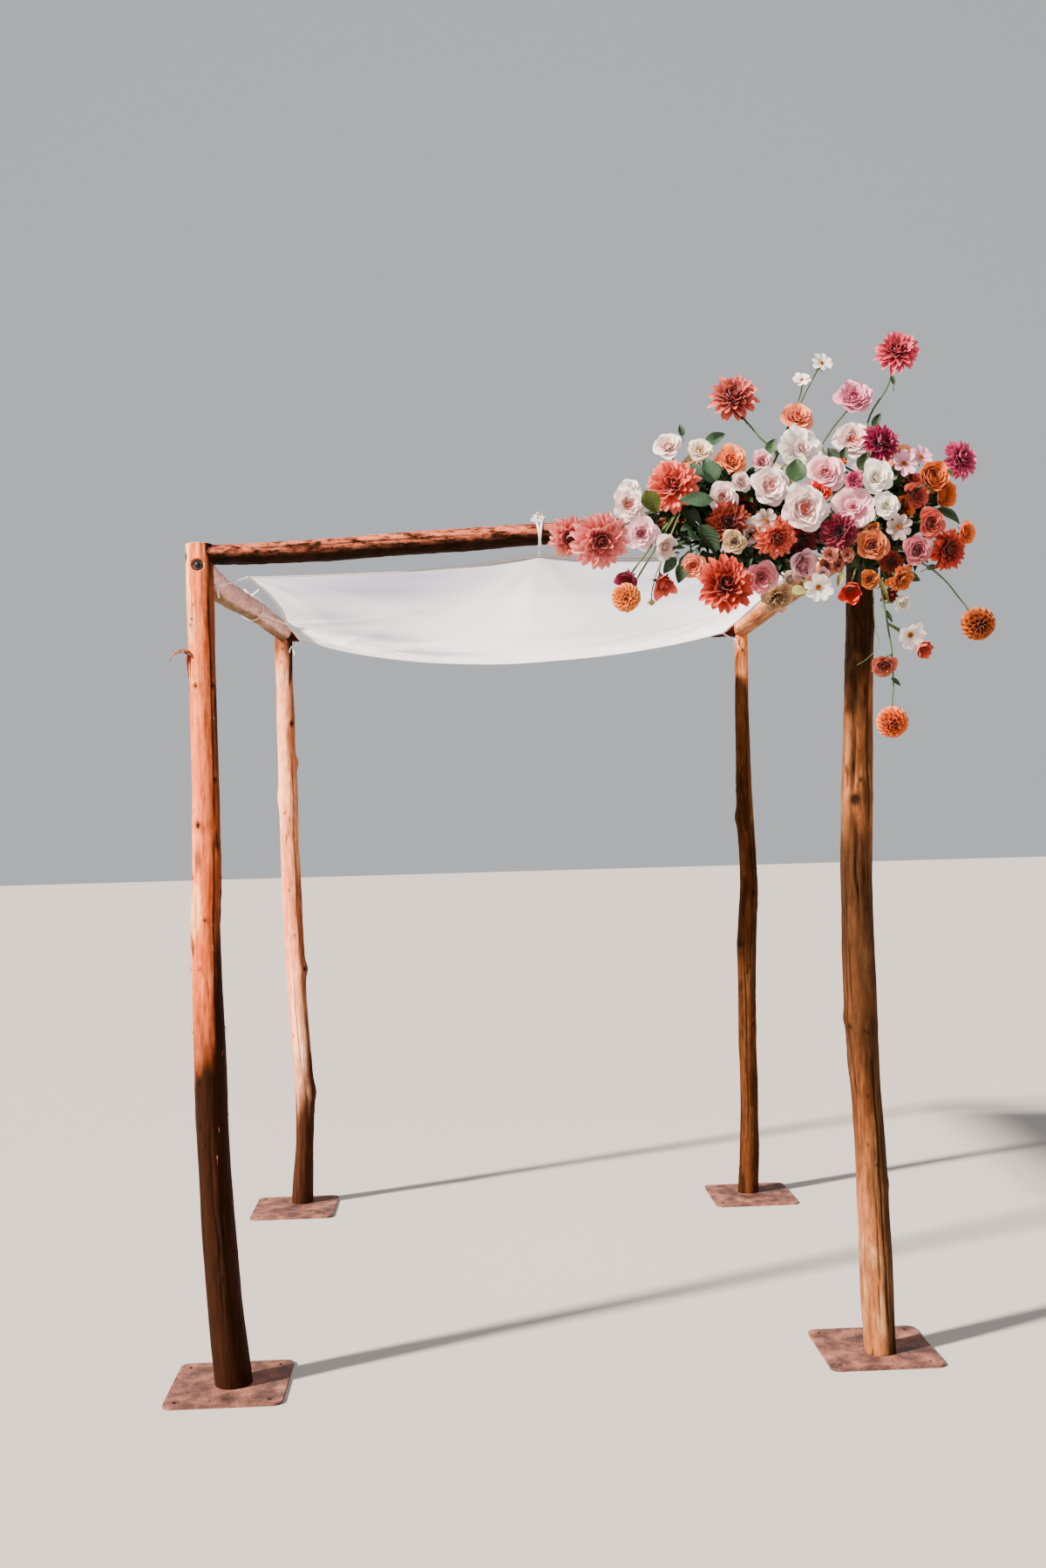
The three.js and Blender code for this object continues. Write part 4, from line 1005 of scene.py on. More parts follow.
def bow(sheets, top, rng):
    """Short crumpled loops of tape that stand up in a fan, and two tails."""
    for angle in BOW_LEANS:
        lean = math.radians(angle)
        way = np.array([math.sin(lean), rng.uniform(-0.5, 0.2), math.cos(lean)])
        side = unit(np.cross(way, [0, 1, 0.2])) * 11
        out = top + way * rng.uniform(25, 32)
        path = bezier(top, out - side, out + side, top, 18) + 1.0 * rng.normal(size=(18, 3))
        sheets.add_one(tube(path, TAPE * 1.5, 8, 0.4, [0.6, 0.8, 0.3]))
    for way in (-1, 1):
        tip = top + np.array([13.0 * way, -12, -24 - 4 * way])
        path = bezier(top, top + [8 * way, -14, 6], tip + [0, -2, 12], tip, 12)
        sheets.add_one(tube(path, TAPE * 0.8, 8, 0.3, [0.2, 1, 0.1]))


def middle_tie(name, cloth, centre, radius, axis, tape, rng):
    """A band of two turns round a beam, knotted on top, and the strand down to the cloth."""
    cloth, centre, axis = (np.array(value, float) for value in (cloth, centre, axis))
    sheets = Sheets()
    turn = ring(40)
    for step in (-4.2, 4.0):
        loop = centre + wheel(turn, np.cross(axis, UP), UP) * (radius + 3.0)
        lean = np.outer(step * (0.6 + np.sin(turn)), axis)
        sheets.add_one(tube(loop + lean, TAPE, 8, 0.3, axis, closed=True))
    top = centre + UP * (radius + 6.0)
    knot(sheets, top, BEAM_KNOT, axis, rng)
    if name == "front_middle_tie":
        bow(sheets, top, rng)
    else:
        for tail in SHORT_TAILS:
            bend = top + [0.3 * tail[0], -6, 4]
            path = bezier(top, bend, bend, top + tail, 10)
            sheets.add_one(tube(path, 5.6, 8, 0.45, [0.4, 0.6, 0.7]))
    to_cloth = cloth - centre
    to_cloth -= axis * (to_cloth @ axis)
    knot(sheets, cloth + [0, 0, 2], CLOTH_KNOT, to_cloth, rng)
    sheets.piece(name + "_band", tape, "cotton_tie", name)
    strand(name, centre + unit(to_cloth) * (radius + 3), cloth, tape, name, 3)


def corner_tie(name, cloth, place, tape, rng):
    """A knot with two tails at a post, one at the cloth, and the strand between them."""
    cloth, place = np.array(cloth, float), np.array(place, float)
    sheets = Sheets()
    knot(sheets, place, POST_KNOT, place - cloth, rng)
    knot(sheets, cloth, CLOTH_KNOT, place - cloth, rng)
    for side in (-1, 1):
        tip = place + [10 * side, -6, -30 - 6 * side]
        path = bezier(place, place + [6 * side, -10, -6], tip + [0, -4, 12], tip, 10)
        sheets.add_one(tube(path, TAPE * 0.8, 8, 0.3))
    ends = sheets.piece(name + "_knots", tape, "cotton_tie", name)
    strand(name, cloth, place, tape, name, 4)


def build_ties():
    tape = cotton("white_tape", "f3f0ea", "e2ddd4", 0.1)
    rng = np.random.default_rng(5)
    for name, tie in MIDDLE_TIES.items():
        middle_tie(name, *tie, tape, rng)
    for name, tie in CORNER_TIES.items():
        corner_tie(name, *tie, tape, rng)


# Flower colours: heart, body and rim. The shaded ones are darker copies: painted shade for heads that
# sit in shadow.
PALETTES = {
    "coral_pink": ("a0322a", "e06e62", "fabcb8"),
    "bright_pink": ("7c142c", "d24c6c", "ee8ca0"),
    "deep_coral": ("6c1410", "bc4a40", "eea098"),
    "coral": ("a8281c", "e0543e", "f8a494"),
    "coral_red": ("64140e", "b43424", "e88268"),
    "red_coral": ("94241c", "d44c38", "f4a28c"),
    "dark_red": ("3c0c10", "84262a", "a84842"),
    "shaded_coral": ("581c10", "9c4632", "c4745c"),
    "blush": ("f4b4a0", "fdeae4", "fffaf8"),
    "blush_coral": ("f2a08e", "fce8e4", "fff8f6"),
    "pale_pink": ("f0a4b2", "fcdae2", "fff0f4"),
    "pink": ("e8849a", "f8c6d2", "fee8ec"),
    "rose_pink": ("d8607c", "f4a4b4", "fcccd4"),
    # A darker copy of pink: painted shade for a head in shadow.
    "deep_rose": ("a84c60", "d08494", "e4a8b0"),
    "orchid": ("c86088", "e69fb9", "f2c4d2"),
    "white": ("f4ecd8", "fdfaf2", "fffefa"),
    "shaded_white": ("9a8482", "ccbab4", "e0d2cc"),
    "cream": ("ecd4ac", "f4e8d2", "faf4e8"),
    "shaded_cream": ("a8845c", "d0b694", "e6d4b8"),
    # A darker copy of cream: painted shade for a head in shadow.
    "deep_cream": ("7c5c34", "b08e60", "d4b88c"),
    "orange": ("f07424", "fca858", "fcc89c"),
    "apricot": ("e8743c", "f8a470", "fcccb0"),
    "gold": ("d87020", "f8a444", "fccc84"),
    "ochre": ("743408", "b86c1e", "e49c50"),
    "amber": ("641c08", "bc6420", "eca24c"),
    "warm_apricot": ("8c3a16", "ca7444", "ecaa80"),
    "ranunculus": ("b8521c", "e6883c", "f0ac6c"),
    "red_orange": ("a82410", "e04826", "f07048"),
    "magenta": ("6a1434", "b02c68", "d05490"),
    "dark_magenta": ("4c0e22", "8e2248", "b04068"),
    "magenta_pink": ("982654", "d05a8e", "e484a8"),
    "salmon": ("cc544c", "ec9080", "f6b8ac"),
    "deep_salmon": ("8c2820", "cc5c4c", "ec988a"),
    "rust": ("4c160c", "963820", "b45c3a"),
    "brown_orange": ("b4481c", "f08038", "fcb46c"),
    "dusty": ("86301a", "c4684e", "dc9c88"),
    "faded": ("94703c", "c4a47c", "e4ccae"),
    "lavender_pink": ("e08aac", "f4c0d4", "fadce8"),
    "spray": ("7c3428", "b8705e", "dca090"),
    # A dark head put in a shadowed gap: painted shade.
    "umber": ("2e1410", "5c3c30", "86604e"),
    "pale_yellow": ("b8a848", "e0d27c", "f0e8b0"),
    "stamen": ("8a5a10", "d8962c", "f0bc48"),
}
PALETTES = {name: [rich(code) for code in codes] for name, codes in PALETTES.items()}

# How far forward the layers of heads stand.
FRONT, MIDDLE, INNER, REAR = -1150, -1085, -1030, -955
# Sprays: root, the slot of their petals, and heads as x and z in the sight plane, radius, depth,
# kind, colours, lean in x and in z, and places that a long stem bends through.
SPRAYS = {
    "left_tip_spray": ([410, -960, 2490], "coral_petals", [
        [97, 2398, 52, MIDDLE, "dahlia", "coral_pink", 0.5, -0.35],
        [187, 2386, 72, FRONT, "dahlia", "coral_pink", 0.35, -0.3],
        [272, 2488, 45, INNER, "garden", "blush", 0.25, 0],
        [275, 2532, 32, REAR, "rose", "white", 0.3, 0.3],
        [306, 2403, 49, INNER, "rose", "pale_pink", 0.2, 0],
        [375, 2365, 38, MIDDLE, "rose", "blush", 0.8, -0.3]]),
    "left_drop_spray": ([430, -994, 2490], "orange_petals", [
        [261, 2273, 34, MIDDLE, "cup", "magenta_pink", -0.7, -0.9],
        [257, 2220, 39, MIDDLE - 40, "pompom", "gold", 0, 0],
        [368, 2255, 44, MIDDLE, "bud", "coral", 0.5, -1.0],
        [331, 2204, 12, MIDDLE, "bud", "pale_yellow", 0.1, -1.5],
        [453, 2307, 36, MIDDLE, "rose", "apricot", -0.2, -0.3]]),
    "low_dahlia_spray": ([560, -994, 2480], "coral_petals", [
        [545, 2252, 73, FRONT, "dahlia", "coral_red", 0.1, 0.35],
        [650, 2270, 48, MIDDLE, "rose", "rose_pink", 0, -0.2],
        [698, 2209, 46, FRONT, "carnation", "faded", 0, -0.35],
        [735, 2262, 30, MIDDLE + 10, "rose", "cream", 0.5, -0.3],
        [715, 2330, 34, INNER, "rose", "blush", 0.1, -0.3],
        [774, 2303, 45, MIDDLE, "rose", "pink", 0.45, -0.3],
        [760, 2236, 24, MIDDLE, "rose", "deep_cream", 0, -0.3],
        [815, 2238, 42, FRONT, "cosmos", "white", 0, -0.1]]),
    "left_crown_spray": ([480, -994, 2516], "blush_petals", [
        [402, 2541, 68, MIDDLE, "dahlia", "coral", 0, 0.1],
        [389, 2654, 40, INNER, "rose", "blush", -0.1, 0.15],
        [486, 2639, 36, INNER, "garden", "cream", 0, 0.2],
        [545, 2506, 43, MIDDLE, "rose", "blush_coral", -0.15, 0],
        [599, 2546, 32, MIDDLE, "rose", "blush", 0.3, 0.2],
        [455, 2600, 30, INNER, "rose", "shaded_cream", -0.3, 0.3]]),
    "tall_left_spray": ([590, -935, 2536], "coral_petals", [
        [584, 2791, 62, REAR, "dahlia", "deep_coral", -0.1, 0.1, [700, 2614], [653, 2680]],
        [573, 2612, 45, INNER, "rose", "orange", 0.1, 0.1],
        [661, 2606, 33, INNER, "rose", "pink", 0.1, 0]]),
    "centre_crown_spray": ([668, -930, 2536], "white_petals", [
        [778, 2642, 64, INNER, "open", "white", 0.15, 0.1],
        [768, 2732, 47, REAR, "rose", "apricot", 0, 0.1],
        [844, 2887, 31, REAR, "cosmos", "white", 0.2, 0.3],
        [784, 2840, 25, REAR, "cosmos", "white", -0.4, 0.2]]),
    "centre_face_spray": ([650, -994, 2500], "blush_petals", [
        [683, 2534, 52, MIDDLE, "garden", "blush", 0.05, 0],
        [782, 2467, 64, FRONT, "garden", "blush_coral", 0, -0.05],
        [669, 2435, 33, FRONT, "cosmos", "shaded_white", 0, 0],
        [633, 2401, 42, MIDDLE, "garden", "blush", 0, -0.1],
        [575, 2374, 34, FRONT, "rose", "shaded_cream", -0.3, -0.2],
        [558, 2432, 56, MIDDLE, "dahlia", "shaded_coral", 0, -0.1],
        [600, 2474, 34, INNER, "dahlia", "rust", 0, -0.1],
        [735, 2430, 34, INNER, "rose", "salmon", 0, -0.2],
        [704, 2478, 30, INNER, "rose", "umber", 0, 0],
        [698, 2385, 55, FRONT + 20, "dahlia", "red_coral", 0.1, -0.4],
        [772, 2377, 45, MIDDLE, "dahlia", "dark_red", 0.1, -0.3]]),
    "tall_right_spray": ([985, -1010, 2535], "coral_petals", [
        [1065, 2918, 56, REAR, "dahlia", "bright_pink", -0.2, 0.1, [972, 2705], [1034, 2816]],
        [936, 2788, 50, REAR, "garden", "orchid", -0.1, 0.1, [846, 2626], [860, 2684]],
        [931, 2664, 54, REAR, "garden", "blush_coral", 0, 0]]),
    "right_crown_spray": ([940, -1048, 2500], "magenta_petals", [
        [848, 2570, 53, MIDDLE, "rose", "pink", 0, 0],
        [824, 2514, 33, MIDDLE, "rose", "red_orange", -0.1, -0.2],
        [1009, 2654, 52, MIDDLE, "dahlia", "magenta", 0.35, 0.1],
        [896, 2598, 16, MIDDLE, "bud", "ranunculus", 0, 0.3],
        [929, 2547, 27, FRONT - 20, "carnation", "magenta_pink", 0, 0.1],
        [995, 2555, 48, FRONT, "rose", "white", 0.05, 0.05]]),
    "right_wing_spray": ([1012, -1010, 2480], "orange_petals", [
        [1239, 2601, 52, INNER, "dahlia", "magenta_pink", 0.3, 0.1],
        [1126, 2610, 35, INNER, "cosmos", "lavender_pink", 0.1, 0.2],
        [1076, 2592, 38, MIDDLE, "cosmos", "lavender_pink", -0.2, 0.1],
        [1158, 2552, 42, MIDDLE, "ranunculus", "ranunculus", 0, 0],
        [1190, 2500, 36, INNER, "ranunculus", "ranunculus", 0.3, -0.3],
        [1112, 2498, 38, MIDDLE, "rose", "deep_salmon", 0.2, 0],
        [1075, 2540, 30, INNER, "rose", "rose_pink", 0.2, 0.2]]),
    "right_face_spray": ([985, -1048, 2440], "blush_petals", [
        [925, 2469, 58, FRONT, "open", "pink", -0.05, -0.05],
        [1021, 2471, 38, FRONT, "rose", "white", 0.15, 0.1],
        [1076, 2464, 33, MIDDLE, "rose", "brown_orange", 0, -0.2],
        [1150, 2419, 42, FRONT, "rose", "deep_salmon", 0.1, 0],
        [1252, 2387, 35, MIDDLE, "rose", "brown_orange", 0.4, -0.1],
        [1054, 2408, 38, FRONT, "cosmos", "shaded_white", 0.05, -0.1],
        [945, 2400, 26, MIDDLE, "rose", "cream", 0, 0],
        [1105, 2545, 26, INNER, "rose", "salmon", 0.3, 0.2],
        [981, 2405, 22, FRONT, "bud", "ochre", 0, 0.1]]),
    "right_low_spray": ([970, -1048, 2350], "orange_petals", [
        [880, 2398, 48, FRONT, "dahlia", "dark_magenta", -0.1, -0.2],
        [978, 2356, 43, FRONT, "rose", "warm_apricot", 0, 0],
        [1195, 2340, 55, MIDDLE, "dahlia", "coral_red", 0.3, -0.2],
        [1109, 2339, 42, FRONT, "rose", "deep_rose", 0, -0.1],
        [1030, 2306, 32, MIDDLE - 20, "dahlia", "shaded_coral", 0, -0.2],
        [1060, 2256, 40, FRONT, "carnation", "ranunculus", 0.3, -0.3],
        [1027, 2212, 28, MIDDLE, "bud", "rust", 0, -1.2]]),
    "spray_rose_cluster": ([930, -1048, 2330], "blush_petals", [
        [853, 2332, 21, FRONT, "rose", "spray", 0, 0.1],
        [903, 2330, 20, FRONT, "rose", "spray", 0.1, 0.1],
        [842, 2302, 20, MIDDLE, "rose", "spray", -0.1, 0],
        [876, 2300, 18, MIDDLE, "rose", "spray", 0.1, 0],
        [830, 2278, 18, MIDDLE, "rose", "pink", -0.1, -0.3],
        [910, 2222, 34, FRONT, "cup", "red_orange", -0.2, -0.5],
        [967, 2258, 28, FRONT, "rose", "ochre", 0, -0.1]]),
    "hanging_spray": ([990, -1048, 2316], "orange_petals", [
        [1080, 2094, 42, MIDDLE, "cosmos", "white", 0.1, -0.1],
        [1063, 2185, 25, MIDDLE, "carnation", "white", 0.2, -0.2],
        [1117, 2052, 28, MIDDLE, "cup", "red_coral", 0.3, -0.5],
        [1002, 2007, 36, MIDDLE - 30, "rose", "dusty", -0.1, -0.6],
        [1020, 1843, 43, MIDDLE, "pompom", "brown_orange", 0, -0.3]]),
    "side_drop_spray": ([1012, -1030, 2325], "orange_petals", [
        [1280, 2123, 46, MIDDLE, "pompom", "amber", 0.1, -0.3]]),
    "back_left_spray": ([550, -884, 2500], "blush_petals", [
        [430, 2490, 44, -820, "rose", "blush", 0, 0],
        [540, 2560, 50, -815, "dahlia", "coral_pink", 0, 0],
        [640, 2480, 42, -815, "garden", "pink", 0, 0],
        [720, 2560, 40, -840, "rose", "cream", 0, 0],
        [500, 2430, 34, -800, "rose", "apricot", 0, 0]]),
    "back_right_spray": ([992, -982, 2535], "coral_petals", [
        [1060, 2600, 46, -850, "rose", "apricot", 0, 0],
        [1150, 2520, 44, -860, "dahlia", "coral", 0, 0],
        [960, 2560, 40, -830, "rose", "pink", 0, 0],
        [1120, 2440, 36, -860, "rose", "blush", 0, 0],
        [880, 2530, 42, -830, "garden", "blush", 0, 0]]),
}
# The stems that hang, through x and z in the sight plane.
ROUTES = {
    "hanging_spray": [[1000, 2250], [1006, 2190], [1014, 2130], [1026, 2045], [1026, 1950],
                      [1020, 1880]],
    "side_drop_spray": [[1105, 2309], [1182, 2255], [1250, 2165]],
}
# A tendril by the front right post, through x and z in the sight plane.
TENDRIL = [[984, 2270], [976, 2218], [979, 2114], [988, 2070], [956, 2031], [922, 2010]]
# How much wider than its measured outline a kind of head is built, because its petals thin out there.
SWELL = {"dahlia": 1.06, "cosmos": 1.08, "pompom": 1.04, "bud": 1.2, "cup": 1.2, "ranunculus": 1.2}


def seen(x, z, depth):
    """The real place of a thing that shows at x, z in the sight plane, at its depth, and its scale."""
    share = (depth - EYE[1]) / (SIGHT_PLANE - EYE[1])
    return EYE + (np.array([x, SIGHT_PLANE, z]) - EYE) * share, share


def spread(many):
    """Shares from 0 for the first petal to 1 for the last."""
    return np.arange(many) / (many - 1)


def spiral(many):
    """The turns of petals that grow in a spiral."""
    return np.arange(many) * GOLDEN


# Where along a petal it is widest.
PEAK = 0.6


def petals(turn, lean, reach, wide, root, curve=1.5, tip=0.1, point=0.0, cup=0.0, wrap=0.0, ruffle=0.0,
           waves=3, rows=6, cols=4, rng=None):
    """Grids of petals on a head of radius 1 that faces +Z: their turn, lean at base and tip in degrees,
    reach, half width and root place, and how they are cupped, wrapped round the axis and ruffled."""
    many = len(turn)
    reach, wide, start, end, out, high = (np.broadcast_to(np.asarray(value, float), (many,))[:, None]
                                          for value in (reach, wide, *lean, *root))
    s = np.linspace(0, 1, rows + 1)
    w = np.linspace(-1, 1, cols + 1)
    tilt = np.radians(start) + (np.radians(end) - np.radians(start)) * s ** curve
    middle = (tilt[:, 1:] + tilt[:, :-1]) / 2
    zero = np.zeros((many, 1))
    out = out + np.hstack([zero, np.cumsum(np.cos(middle) * (reach / rows), 1)])
    high = high + np.hstack([zero, np.cumsum(np.sin(middle) * (reach / rows), 1)])
    half = 0.35 + 0.65 * np.sin(0.5 * math.pi * np.clip(s / PEAK, 0, 1))
    half = half * (1 - point * np.clip((s - PEAK) / (1 - PEAK), 0, 1) ** 1.6)
    half = (wide * half)[..., None]
    tilt, out, high, reach, wide = (value[..., None] for value in (tilt, out, high, reach, wide))
    down = s[:, None]
    back = -(tip * w ** 2 + 0.6 * point * np.abs(w)) * down ** 3 * reach
    lift = cup * half * w ** 2
    if ruffle:
        phase = rng.uniform(0, TURN, (many, 1, 1))
        lift = lift + ruffle * np.sin(waves * math.pi * w + phase + 2 * down) * down ** 1.5 * wide
        back = back + 0.5 * ruffle * np.cos(2 * waves * w + phase) * down ** 4 * wide
    x = half * w
    radius = out + back * np.cos(tilt) - lift * np.sin(tilt)
    height = high + back * np.sin(tilt) + lift * np.cos(tilt)
    face = np.reshape(turn, (many, 1, 1))
    bent = face + x / np.maximum(np.abs(radius), 0.12)
    flat_x = radius * np.cos(face) - x * np.sin(face)
    flat_y = radius * np.sin(face) + x * np.cos(face)
    px = flat_x + (radius * np.cos(bent) - flat_x) * wrap
    py = flat_y + (radius * np.sin(bent) - flat_y) * wrap
    return np.stack([px, py, height], axis=-1)


def tints(palette, tone, grid, rng, deep=0.72):
    """Colours over petals: from heart to body by tone, paler to the rim, and darkened towards the base
    by deep: painted shade deep in the head.
    """
    heart, body, rim = palette
    s = np.linspace(0, 1, grid.shape[1])[None, :, None]
    tone = np.clip(np.asarray(tone, float), 0, 1)[:, None, None]
    base = heart + (body - heart) * tone
    edge = base + (rim - base) * (0.25 + 0.65 * tone)
    colour = base + (edge - base) * s ** 1.4
    colour = colour * (deep + (1 - deep) * s ** 0.7) * (1 + 0.07 * rng.normal(size=(len(tone), 1, 1)))
    return np.clip(colour, 0, 1)[:, :, None]


def core(palette, radius, high, drop, shade):
    """A rounded heart under the petals, so that nothing shows through them."""
    turn = np.linspace(0, math.pi, 9)
    profile = np.stack([radius * np.sin(turn) + 0.001, drop - radius * high * np.cos(turn)], axis=1)
    return lathe(profile, ORIGIN, UP, 12)[None], palette[0] * shade


def rose(palette, rng, many=30, opening=1.0, quarter=0.0, ruffle=0.05):
    """Petals that open round each other. A quartered one has its inner petals in folded rows."""
    k = spread(many)
    turn = spiral(many) + rng.normal(0, 0.12, many)
    start = 80 - 46 * k * opening
    end = 104 - (104 + 16 * opening) * k ** 1.3 * opening
    reach = (0.6 + 0.38 * k) * rng.uniform(0.93, 1.06, many)
    wide = 0.15 + 0.5 * k ** 0.8
    root = (0.03 + 0.1 * k, -0.34 + 0.12 * k * (1 - k))
    if quarter:
        inner = k < 0.5
        start = np.where(inner, 82 + rng.normal(0, 9, many), start)
        end = np.where(inner, 88 + rng.normal(0, 20, many), end)
        reach = np.where(inner, 0.52 + 0.1 * rng.random(many), reach)
        root = (np.where(inner, 0.42 * np.sqrt(2 * k) * quarter, root[0]), root[1])
        wide = np.where(inner, 0.16, wide)
        turn = np.where(inner, turn + rng.normal(0, 1.2, many), turn)
    grid = petals(turn, (start, end), reach, wide, root, curve=1.8, tip=0.12, point=0.14, cup=0.2,
                  wrap=0.85, ruffle=ruffle, waves=1.5, rows=7, cols=6, rng=rng)
    # Paler heads get lighter painted shade at the bases of their petals.
    deep = 0.58 + 0.26 * palette[1].mean()
    return [(grid, tints(palette, k ** 0.6, grid, rng, deep)), core(palette, 0.2, 1.2, -0.2, 0.9)]


def garden_rose(palette, rng):
    return rose(palette, rng, many=44, quarter=1.0, ruffle=0.12)


def open_rose(palette, rng):
    """A wide saucer of big petals round a tight bud."""
    many = 12
    grid = petals(spiral(many), (34, -8), 0.95 * rng.uniform(0.92, 1.05, many), 0.44, (0.1, -0.35),
                  curve=1.4, tip=0.15, point=0.1, cup=0.22, wrap=0.3, ruffle=0.1, waves=1.5, rows=7,
                  cols=6, rng=rng)
    parts = [(grid, tints(palette, 0.75 + 0.25 * rng.random(many), grid, rng))]
    for grid, colour in rose(palette, rng, 22, 0.9):
        parts.append((grid * 0.46 + UP * 0.02, colour * np.array([0.96, 0.8, 0.84])))
    return parts


def dahlia(palette, rng):
    """Broad pointed petals in a spiral over a low dome, the inner ones folded over the heart."""
    many = 84
    k = (np.arange(many) + 0.5) / many
    polar = np.degrees(np.arccos(1 - 1.22 * k))
    turn = spiral(many) + rng.normal(0, 0.06, many)
    out = np.sin(np.radians(np.minimum(polar, 90)))
    start = 90 - polar * 0.9 + rng.normal(0, 6, many)
    end = start + 50 * (1 - out) ** 0.7 + 4 - 30 * k + rng.normal(0, 12, many)
    reach = (0.3 + 0.68 * out ** 1.3) * rng.uniform(0.86, 1.1, many)
    root = (0.16 * out, -0.12 + 0.22 * np.cos(np.radians(polar)))
    grid = petals(turn, (start, end), reach, 0.11 + 0.07 * out, root, curve=1.2, tip=0.16, point=0.16,
                  cup=0.5, ruffle=0.05, waves=1, rows=7, rng=rng)
    return [(grid, tints(palette, out ** 1.6, grid, rng, 0.5)), core(palette, 0.26, 1.0, -0.02, 0.7)]


def pompom(palette, rng, many=84):
    """A ball of short petals that bend back over each other like scales."""
    k = (np.arange(many) + 0.5) / many
    polar = np.arccos(1 - 1.8 * k)
    start = 98 - np.degrees(polar)
    reach = (0.42 + 0.1 * np.sin(np.minimum(polar, math.pi / 2))) * rng.uniform(0.92, 1.08, many)
    root = (0.55 * np.sin(polar), 0.55 * np.cos(polar))
    grid = petals(spiral(many), (start, start - 52), reach, 0.17, root, curve=1.6, tip=0.3, point=0.05,
                  cup=0.8, rows=5)
    return [(grid, tints(palette, 0.3 + 0.7 * k ** 0.6, grid, rng, 0.4)), core(palette, 0.6, 1, 0, 0.6)]


def cosmos(palette, rng):
    """Eight broad petals round a domed centre."""
    many = 8
    turn = ring(many) + rng.normal(0, 0.05, many)
    start = 24 + rng.normal(0, 8, many)
    end = start - 26 + rng.normal(0, 9, many)
    root = (0.1, 0.05 * (np.arange(many) % 2) - 0.05)
    grid = petals(turn, (start, end), 0.92 * rng.uniform(0.92, 1.05, many), 0.26, root, curve=1.3,
                  tip=0.14, point=0.05, cup=0.2, ruffle=0.08, rows=8, cols=6, rng=rng)
    parts = [(grid, tints(palette, 0.8 + 0.2 * rng.random(many), grid, rng, 0.6))]
    for eye, colour in pompom(PALETTES["stamen"], rng, 70):
        parts.append((eye * 0.19 * np.array([1, 1, 0.7]) + UP * 0.04, colour))
    return parts


def ranunculus(palette, rng):
    """Many thin petals that cup tightly round each other."""
    many = 44
    k = spread(many)
    root = (0.03 + 0.1 * k, -0.4 + 0.05 * k)
    grid = petals(spiral(many), (84 - 62 * k, 140 - 78 * k), 0.5 + 0.68 * k, 0.16 + 0.34 * k, root,
                  curve=1.3, tip=0.14, cup=0.2, wrap=0.9, ruffle=0.03, waves=1.5, cols=6, rng=rng)
    return [(grid, tints(palette, k ** 0.9, grid, rng))]


def carnation(palette, rng):
    """A loose head of ruffled petals."""
    many = 46
    k = spread(many)
    start = 86 - 66 * k + rng.normal(0, 8, many)
    end = start - 30 * k + rng.normal(0, 10, many)
    reach = (0.62 + 0.33 * k) * rng.uniform(0.88, 1.08, many)
    turn = spiral(many) + rng.normal(0, 0.3, many)
    grid = petals(turn, (start, end), reach, 0.2 + 0.08 * k, (0.04, -0.38), cup=0.15, wrap=0.3,
                  ruffle=0.35, rows=7, cols=7, rng=rng)
    return [(grid, tints(palette, 0.2 + 0.8 * k, grid, rng))]


def bud(palette, rng):
    """A half-open bud, longer than it is wide, with a few loose outer petals."""
    many = 13
    k = spread(many)
    root = (0.06 + 0.06 * k, -0.75)
    grid = petals(spiral(many), (84 - 34 * k, 104 - 60 * k ** 2), 1.25 + 0.1 * k, 0.26 + 0.22 * k, root,
                  curve=1.4, tip=0.16, point=0.2, cup=0.35, wrap=0.85, ruffle=0.06, waves=1.5, rows=8,
                  cols=6, rng=rng)
    return [(grid, tints(palette, 0.15 + 0.85 * k, grid, rng))]


def cup_flower(palette, rng):
    """A cup of a few broad petals."""
    many = 9
    k = spread(many)
    grid = petals(spiral(many), (8 + 20 * (1 - k), 100 - 22 * k), 1.2 + 0.1 * k, 0.5, (0.08, -0.5),
                  curve=0.9, tip=0.16, point=0.15, cup=0.2, wrap=0.7, ruffle=0.08, waves=1.5, rows=8,
                  cols=6, rng=rng)
    return [(grid, tints(palette, 0.4 + 0.6 * k, grid, rng))]


KINDS = {
    "rose": rose,
    "garden": garden_rose,
    "open": open_rose,
    "dahlia": dahlia,
    "pompom": pompom,
    "cosmos": cosmos,
    "ranunculus": ranunculus,
    "carnation": carnation,
    "bud": bud,
    "cup": cup_flower,
}
LEAF = {
    "dark": rgb("142814"),
    "green": rgb("203c1e"),
    "grey": rgb("2c4632"),
    "olive": rgb("424c14"),
    "light": rgb("787a42"),
}
STEM_TINT = rgb("475428")
DARK_STEM = rgb("2c331c")
# The radius of a stem, the height above which heads have dark stems, and the cup under a head as
# radius and height on a head of radius 1.
STEM = 3.2
TALL = 2700
BULB = [[0.02, -0.74], [0.11, -0.72], [0.15, -0.6], [0.13, -0.46], [0.05, -0.4]]


def turned(face, roll):
    """The rotation that takes +Z to face, after a roll about it."""
    face = unit(face)
    side = unit(np.cross(face, [0.1, 0.2, 1.0] if abs(face[2]) < 0.9 else [1.0, 0, 0]))
    other = np.cross(face, side)
    return np.stack([math.cos(roll) * side + math.sin(roll) * other,
                     math.cos(roll) * other - math.sin(roll) * side, face], axis=1)


def calyx(sheets, matrix, size, place, rng):
    """Sepals and the green cup under a head."""
    many = 5
    grid = petals(ring(many), (-8, -34), 0.5 + 0.12 * rng.random(many), 0.11, (0.1, -0.42), curve=1.2,
                  point=0.85, cup=0.3, rows=5, cols=2)
    sheets.add(grid @ matrix.T * size + place, LEAF["green"] * (0.9 + 0.2 * rng.random()))
    sheets.add_one(lathe(BULB, ORIGIN, UP, 8) @ matrix.T * size + place, STEM_TINT)


